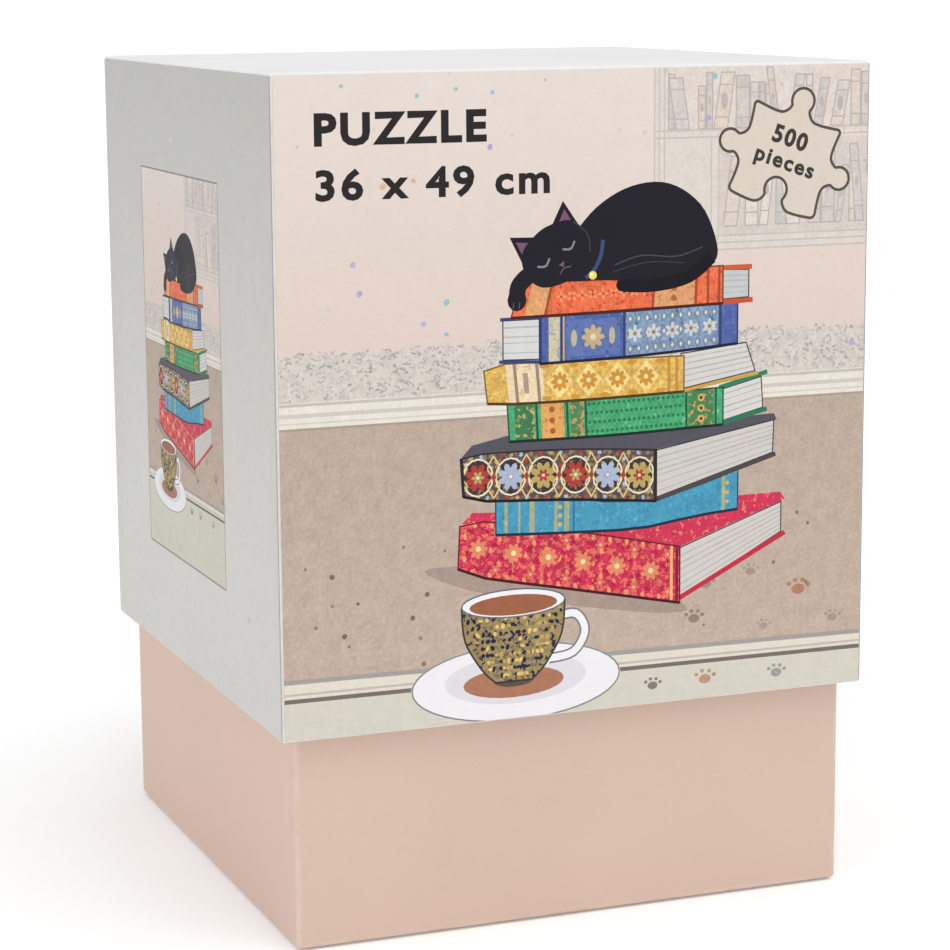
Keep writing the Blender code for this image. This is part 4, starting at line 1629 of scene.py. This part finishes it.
def dropped_piece(outline, number, level, rng):
    """An enlarged piece, turned at random, at its place in a level square of them."""
    form = bmesh.new()
    shape = [(x * MM * TUMBLE_SCALE, y * MM * TUMBLE_SCALE) for x, y in outline]
    rows = []
    for side in (-1, 1):
        height = side * PIECE_THICKNESS * MM * TUMBLE_SCALE / 2
        rows.append([form.verts.new((x, y, height)) for x, y in shape])
    form.faces.new(rows[1])
    form.faces.new(rows[0][::-1])
    join_rows(form, rows, closed=True)
    item = bare_object(form, "tumbled")
    spot = number % DROP_SIDE**2
    across = (spot % DROP_SIDE - 1) * DROP_SPACING + rng.uniform(-DROP_STRAY, DROP_STRAY)
    along = (spot // DROP_SIDE - 1) * DROP_SPACING + rng.uniform(-DROP_STRAY, DROP_STRAY)
    item.location = (across * TUMBLE_SCALE, along * TUMBLE_SCALE, level * TUMBLE_SCALE)
    item.rotation_mode = "QUATERNION"
    turn = Quaternion((0, 0, 1), rng.uniform(0, 2 * math.pi))
    if rng.random() < FACE_DOWN:
        turn = Quaternion((1, 0, 0), math.pi) @ turn
    lean = rng.uniform(0, 2 * math.pi)
    turn = Quaternion((math.cos(lean), math.sin(lean), 0), rng.uniform(0, DROP_LEAN)) @ turn
    item.rotation_quaternion = turn
    return item


def free_bodies(pieces):
    """Make the pieces fall and knock against each other."""
    bpy.ops.object.select_all(action="DESELECT")
    for item in pieces:
        item.select_set(True)
    bpy.context.view_layer.objects.active = pieces[0]
    bpy.ops.rigidbody.objects_add(type="ACTIVE")
    for item in pieces:
        body = item.rigid_body
        body.collision_shape = "CONVEX_HULL"
        body.friction = PIECE_FRICTION
        body.restitution = 0.0
        body.use_margin = True
        body.collision_margin = PIECE_MARGIN
        body.linear_damping = 0.1
        body.angular_damping = 0.3
        body.mass = 0.01


def tumble(outlines, rng):
    """Drop pieces into a box of the bag's size, press the top level, and say where each one lies."""
    scene = bpy.context.scene
    bpy.ops.rigidbody.world_add()
    world = scene.rigidbody_world
    world.substeps_per_frame = 8
    world.solver_iterations = 10
    world.point_cache.frame_end = TUMBLE_FRAMES
    old_gravity = tuple(scene.gravity)
    scene.gravity = (0.0, 0.0, -TUMBLE_GRAVITY)
    blocks = tumbling_box() + [press_plate()]
    pieces = []
    level = DROP_START
    for number, outline in enumerate(outlines):
        if number % DROP_SIDE**2 == 0:
            level += DROP_RISE
        pieces.append(dropped_piece(outline, number, level, rng))
    free_bodies(pieces)
    for number in range(1, TUMBLE_FRAMES + 1):
        scene.frame_set(number)
    depsgraph = bpy.context.evaluated_depsgraph_get()
    places = []
    for item in pieces:
        found = item.evaluated_get(depsgraph).matrix_world
        turned = found.to_quaternion().to_matrix().to_4x4()
        places.append(Matrix.Translation(found.translation / TUMBLE_SCALE) @ turned)
    bpy.ops.rigidbody.world_remove()
    for item in blocks + pieces:
        mesh = item.data
        bpy.data.objects.remove(item)
        bpy.data.meshes.remove(mesh)
    for action in list(bpy.data.actions):
        bpy.data.actions.remove(action)
    scene.gravity = old_gravity
    scene.frame_set(1)
    return places


def eased(ring, steps=2, most=0.35):
    """A ring with its corners cut a little, a number of times."""
    for _ in range(steps):
        made = []
        for index, point in enumerate(ring):
            following = ring[(index + 1) % len(ring)]
            run = math.dist(point, following)
            share = min(0.25, most / max(run, 1e-6))
            made.append(tuple(p + share * (f - p) for p, f in zip(point, following)))
            made.append(tuple(f + share * (p - f) for p, f in zip(point, following)))
        ring = made
        most *= 0.5
    return ring


def upper_face(node):
    """The outline of a flat piece's upper face, in order, and its normal."""
    form = bmesh.new()
    form.from_mesh(node.data)
    form.transform(node.matrix_world)
    form.normal_update()
    upward = max(form.faces, key=lambda face: face.calc_area() * (face.normal.z > 0)).normal.copy()
    triangles = []
    for face in form.faces:
        if face.normal.dot(upward) > 0.999:
            corners = [vert.index for vert in face.verts]
            triangles += [(corners[0], b, c) for b, c in zip(corners[1:], corners[2:])]
    form.verts.ensure_lookup_table()
    loop = [form.verts[index].co.copy() for index in loop_around(triangles)]
    form.free()
    return loop, upward


def lying_piece(node, face_down):
    """A CAD piece's outline in millimetres in its own plane, and the matrix that puts it back."""
    loop, normal = upper_face(node)
    centre = sum(loop, Vector()) / len(loop) - normal * PIECE_THICKNESS * MM / 2
    aside = Vector((1, 0, 0)) - normal * normal.x
    aside.normalize()
    ahead = normal.cross(aside)
    flat = [((p - centre).dot(aside), (p - centre).dot(ahead)) for p in loop]
    # The longest runs lie along the piece's sides, whose directions agree when counted fourfold
    pull = 0j
    for (x0, y0), (x1, y1) in zip(flat, flat[1:] + flat[:1]):
        run = complex(x1 - x0, y1 - y0)
        if abs(run) > 0:
            pull += abs(run) ** 4 * (run / abs(run)) ** 4
    lean = math.atan2(pull.imag, pull.real) / 4
    aside, ahead = (
        aside * math.cos(lean) + ahead * math.sin(lean),
        ahead * math.cos(lean) - aside * math.sin(lean),
    )
    if face_down:
        ahead = -ahead
        normal = -normal
    ring = [((p - centre).dot(aside) / MM, (p - centre).dot(ahead) / MM) for p in loop]
    if face_down:
        ring.reverse()
    ring = offset_loop(np.array(eased(ring)), -PRESSED_EDGE).tolist()
    placed = Matrix([(aside[k], ahead[k], normal[k], centre[k]) for k in range(3)] + [(0, 0, 0, 1)])
    return ring, placed


def build_pieces(materials):
    """All 500 pieces: the ones on top follow the CAD's, and the rest fill the bag below them."""
    rng = random.Random(500)
    art = puzzle_art()
    boxes = layer_boxes(art)
    kinds = puzzle_kinds(rng)
    cells = sorted(kinds)
    rng.shuffle(cells)
    looks = (materials["piece_print"], materials["piece_side"], materials["piece_back"])
    loose = sorted(name for name in frame["nodes"] if name.startswith("puzzle_piece_"))
    for name in loose:
        column, row = cells.pop()
        ring, placed = lying_piece(frame["nodes"][name], rng.random() < LOOSE_FACE_DOWN)
        centre = ((column + 0.5) * PIECE_WIDTH, (row + 0.5) * PIECE_LENGTH)
        solids = Solids()
        solids.add(fragment(art, boxes, ring, centre), placed)
        item = solids.build(name.replace("puzzle_piece", "printed_piece"), looks)
        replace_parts(item, name)
    coarse = [piece_outline(PIECE_WIDTH, PIECE_LENGTH, kinds[cell], 5) for cell in cells]
    places = tumble(coarse, rng)
    order = sorted(range(len(cells)), key=lambda index: places[index].translation.z)
    per_chunk = math.ceil(len(order) / HEAP_CHUNKS)
    for chunk in range(HEAP_CHUNKS):
        solids = Solids()
        for index in order[chunk * per_chunk : (chunk + 1) * per_chunk]:
            column, row = cells[index]
            where = places[index].translation
            depth = HEAP_HALF - max(abs(where.x), abs(where.y))
            buried = min(depth, HEAP_TOP - where.z, where.z - BASE_FLOOR) > BURIED
            ring = piece_outline(PIECE_WIDTH, PIECE_LENGTH, kinds[cells[index]], 4 if buried else 8)
            ring = offset_loop(np.array(ring), -PRESSED_EDGE).tolist()
            centre = ((column + 0.5) * PIECE_WIDTH, (row + 0.5) * PIECE_LENGTH)
            drawn = plain_fragment(ring) if buried else fragment(art, boxes, ring, centre)
            solids.add(drawn, places[index])
        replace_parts(solids.build("heap_pieces_%02d" % (chunk + 1), looks), "piece_heap")


# ---------------------------------------------------------------- film bag

# The bag's sides stand up to its shoulder, and close from there to the seal at its peak
BAG_HALF = 0.0485
BAG_FLOOR = 0.0027
BAG_CORNER = 0.0095
BAG_FOOT = 0.0012
BAG_SHOULDER = 0.0985
BAG_PEAK = 0.1095
BAG_COLUMNS = 55
VENT = (0.0219, -0.0365, 0.0985)
VENT_RADIUS = 0.003

# The top seal, and the back seam with its shares that stand upright and that reach over the top
SEAL_LENGTH = 0.0115
SEAL_LEAN = 0.0088
SEAL_DIP = 0.0012
SEAM_WIDTH = 0.011
SEAM_FOOT = 0.004
SEAM_UPRIGHT = 0.66
SEAM_REACH = 0.93
RIDGE_HEIGHT = 0.00018
RIDGE_ROWS = 4

# The film lies snug against the pieces, and loose above them
LOOSE_FROM = 0.086
LOOSE_OVER = 0.010
CLOSING = 0.004
SNUG_SLACK = 0.0009
LOOSE_SLACK = 0.0052
DEEP_FROM = 0.0865
SNUG_DEPTH = 0.0006
LOOSE_DEPTH = 0.0045


def bag_section(half_x, half_y, corner, height):
    """One level of the bag, as evenly counted points round a rounded rectangle."""
    points = []
    arcs = rounded_corners(half_x, half_y, corner, 9)
    for arc, following in zip(arcs, arcs[1:] + arcs[:1]):
        points += arc
        start = arc[-1]
        goal = following[0]
        for step in range(1, BAG_COLUMNS):
            share = step / BAG_COLUMNS
            points.append((start[0] + (goal[0] - start[0]) * share, start[1] + (goal[1] - start[1]) * share))
    return [Vector((x, y, height)) for x, y in points]


def crumple(point, slack):
    """How far the film is pushed in at a point: long folds with fine crackle between them."""
    place = Vector((point.x * 60, point.y * 60, point.z * 22))
    folds = abs(noise.noise(place + Vector((7.3, 1.7, 4.1))))
    place = Vector((point.x * 150, point.y * 150, point.z * 120))
    crackle = abs(noise.noise(place))
    fine = noise.noise(Vector((point.x * 420, point.y * 420, point.z * 300)))
    return slack * (1.9 * (0.35 - folds) + 0.9 * (0.3 - crackle) + 0.12 * fine)


def gable(share):
    """The half depth and height of the bag's closing top, by the share of the way to its seal."""
    half = (BAG_HALF - 0.0004) * (1 - share) ** 1.15 + 0.0004
    return half, BAG_SHOULDER + (BAG_PEAK - BAG_SHOULDER) * (1 - (1 - share) ** 1.6)


def settled(point):
    """A point of the smooth bag, drawn in by the film's folds, deeper above the pieces."""
    upper = max(0.0, min(1.0, (point.z - LOOSE_FROM) / LOOSE_OVER))
    closing = min(1.0, max(0.0, (BAG_PEAK - point.z) / CLOSING))
    push = max(0.0, crumple(point, SNUG_SLACK * (1 - upper) + LOOSE_SLACK * upper * closing))
    push = min(push, SNUG_DEPTH if point.z < DEEP_FROM else LOOSE_DEPTH)
    moved = point + Vector((-point.x, -point.y, 0.0)).normalized() * push
    if point.z > BAG_SHOULDER:
        moved.z -= 0.6 * push
    return moved


def bag_sections():
    """The bag's half widths, corner and height from its foot up its sides and closing top."""
    sections = []
    foot_steps = 5
    for step in range(foot_steps + 1):
        angle = math.pi / 2 * step / foot_steps
        inset = BAG_FOOT * (1 - math.sin(angle))
        height = BAG_FLOOR + BAG_FOOT * (1 - math.cos(angle))
        sections.append((BAG_HALF - inset, BAG_HALF - inset, BAG_CORNER - inset, height))
    side_steps = 62
    for step in range(1, side_steps + 1):
        height = BAG_FLOOR + BAG_FOOT + (BAG_SHOULDER - BAG_FLOOR - BAG_FOOT) * step / side_steps
        sections.append((BAG_HALF, BAG_HALF, BAG_CORNER, height))
    top_steps = 30
    for step in range(1, top_steps + 1):
        share = step / top_steps
        narrow, height = gable(share)
        corner = min(BAG_CORNER * (1 - share) + 0.0003, 0.9 * narrow)
        sections.append((BAG_HALF, narrow, corner, height))
    return sections


def crimped_strip(name, point_at, columns, rows, materials):
    """A strip of film sealed in fine ridges, through points by the shares along and across it."""
    form = bmesh.new()
    grid = []
    for row in range(rows + 1):
        share = row / rows
        ridge = RIDGE_HEIGHT * math.sin(2 * math.pi * row / RIDGE_ROWS) * (0.08 < share < 0.94)
        spots = [point_at(column / columns, share, ridge) for column in range(columns + 1)]
        grid.append([form.verts.new(spot) for spot in spots])
    join_rows(form, grid)
    strip = object_from(form, name, materials["seal"], 60)
    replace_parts(strip, "piece_bag")
    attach(strip, "contents")


def on_seal(across, share, ridge):
    """A point of the top seal, which leans to the back in a slow wave."""
    x = (BAG_HALF - 0.0002) * (2 * across - 1)
    wave = 0.0011 * math.sin(3.1 * x / BAG_HALF + 0.6) * share
    rise = BAG_PEAK - SEAL_DIP + (SEAL_LENGTH - SEAL_LEAN + SEAL_DIP) * share
    return x, SEAL_LEAN * share - wave + ridge, rise - 0.4 * ridge


def on_seam(across, share, ridge):
    """A point of the back seam, a fin folded flat against the bag and over its shoulder."""
    over = max(0.0, across - SEAM_UPRIGHT) / (1 - SEAM_UPRIGHT)
    y, z = gable(SEAM_REACH * over)
    if across < SEAM_UPRIGHT:
        foot = BAG_FLOOR + SEAM_FOOT
        z = foot + (BAG_SHOULDER - foot) * across / SEAM_UPRIGHT
    free = 0.00035 * share * (1 + noise.noise(Vector((2.0, 5.0, 110 * across))))
    x = SEAM_WIDTH * (share - 0.2) + 0.0004 * noise.noise(Vector((8.0, 1.0, 50 * across)))
    tilt = min(1.0, 6 * over)
    outward = Vector((0.0, 1 - 0.7 * tilt, tilt)).normalized()
    return settled(Vector((-x, y, z))) + outward * (0.0002 + free + 0.6 * ridge)


def build_bag(materials):
    """The film bag with its crimped seal and back seam."""
    form = bmesh.new()
    grid = []
    for section in bag_sections():
        grid.append([form.verts.new(settled(point)) for point in bag_section(*section)])
    form.faces.new(grid[0][::-1])
    join_rows(form, grid, closed=True)
    film = object_from(form, "bag_film", materials["film"], 60)
    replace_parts(film, "piece_bag")
    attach(film, "contents")
    crimped_strip("bag_seal", on_seal, 150, 44, materials)
    crimped_strip("bag_back_seam", on_seam, 220, 32, materials)


# ---------------------------------------------------------------- stage

CAMERA_PLACE = (-0.1922, -0.4986, 0.1662)
CAMERA_AHEAD = (0.3564, 0.9178, -0.1752)
CAMERA_ROLL = -0.42
CAMERA_LENS = 107.7
CAMERA_SENSOR = 36.0
DAYLIGHT = (0.97, 0.985, 0.995, 1.0)
DAYLIGHT_STRENGTH = 0.71
LAMPS = (
    ("key", (0.25, -0.55, 1.5), 50, 1.15, (1.0, 0.975, 0.95)),
    ("fill", (-1.0, -0.15, 0.40), 60, 0.45, (0.9, 0.95, 1.0)),
)


def build_stage(materials):
    """Floor, light and camera."""
    scene = bpy.context.scene
    form = bmesh.new()
    bmesh.ops.create_grid(form, x_segments=1, y_segments=1, size=60.0)
    floor = object_from(form, "floor", materials["floor"])
    floor.location.z = CAD_BOX[0].z - 0.0001
    world = bpy.data.worlds.new("studio")
    scene.world = world
    world.use_nodes = True
    background = world.node_tree.nodes["Background"]
    background.inputs["Color"].default_value = DAYLIGHT
    background.inputs["Strength"].default_value = DAYLIGHT_STRENGTH
    for name, spot, spread, power, colour in LAMPS:
        lamp = bpy.data.lights.new(name, "SUN")
        lamp.angle = math.radians(spread)
        lamp.energy = power
        lamp.color = colour
        item = new_object(name, lamp)
        item.rotation_euler = (-Vector(spot)).to_track_quat("-Z", "Y").to_euler()
    scene.view_settings.view_transform = "Standard"
    lens = bpy.data.cameras.new("camera")
    lens.lens = CAMERA_LENS
    lens.sensor_width = CAMERA_SENSOR
    lens.clip_start = 0.01
    camera = new_object("camera", lens)
    camera.location = CAMERA_PLACE
    turned = Vector(CAMERA_AHEAD).to_track_quat("-Z", "Y") @ Quaternion((0, 0, 1), math.radians(CAMERA_ROLL))
    camera.rotation_mode = "QUATERNION"
    camera.rotation_quaternion = turned
    scene.camera = camera


def build_materials():
    """Every material, by a short name."""
    return {
        "print": printed_paper("printed_paper", 0.50, 0.60),
        "piece_print": printed_paper("piece_print", 0.34, 0.46, 2.0),
        "piece_side": piece_side(),
        "piece_back": piece_back(),
        "film": film_material("bag_film", 0.045, VENT),
        "seal": film_material("bag_seal", 0.32),
        # Each wrap paper's second colour is the lighter one of its edges: rubbed wear and a painted highlight
        "lid_paper": wrap_paper(
            "lid_paper", linear((216, 211, 205)), linear((236, 233, 230)), LID_HALF, LID_LOW.z, LID_HIGH.z,
            linear((232, 230, 230)),
        ),
        "base_paper": wrap_paper(
            "base_paper", linear((215, 188, 172)), linear((230, 212, 200)), BASE_HALF, BASE_LOW.z, BASE_HIGH.z
        ),
        "board": greyboard(),
        "tape": gummed_tape(),
        "floor": floor_material(),
    }


MATERIALS = build_materials()
build_lid(MATERIALS)
build_base(MATERIALS)
build_overlap(MATERIALS)
build_pieces(MATERIALS)
build_bag(MATERIALS)
dress_nodes(MATERIALS)
build_stage(MATERIALS)
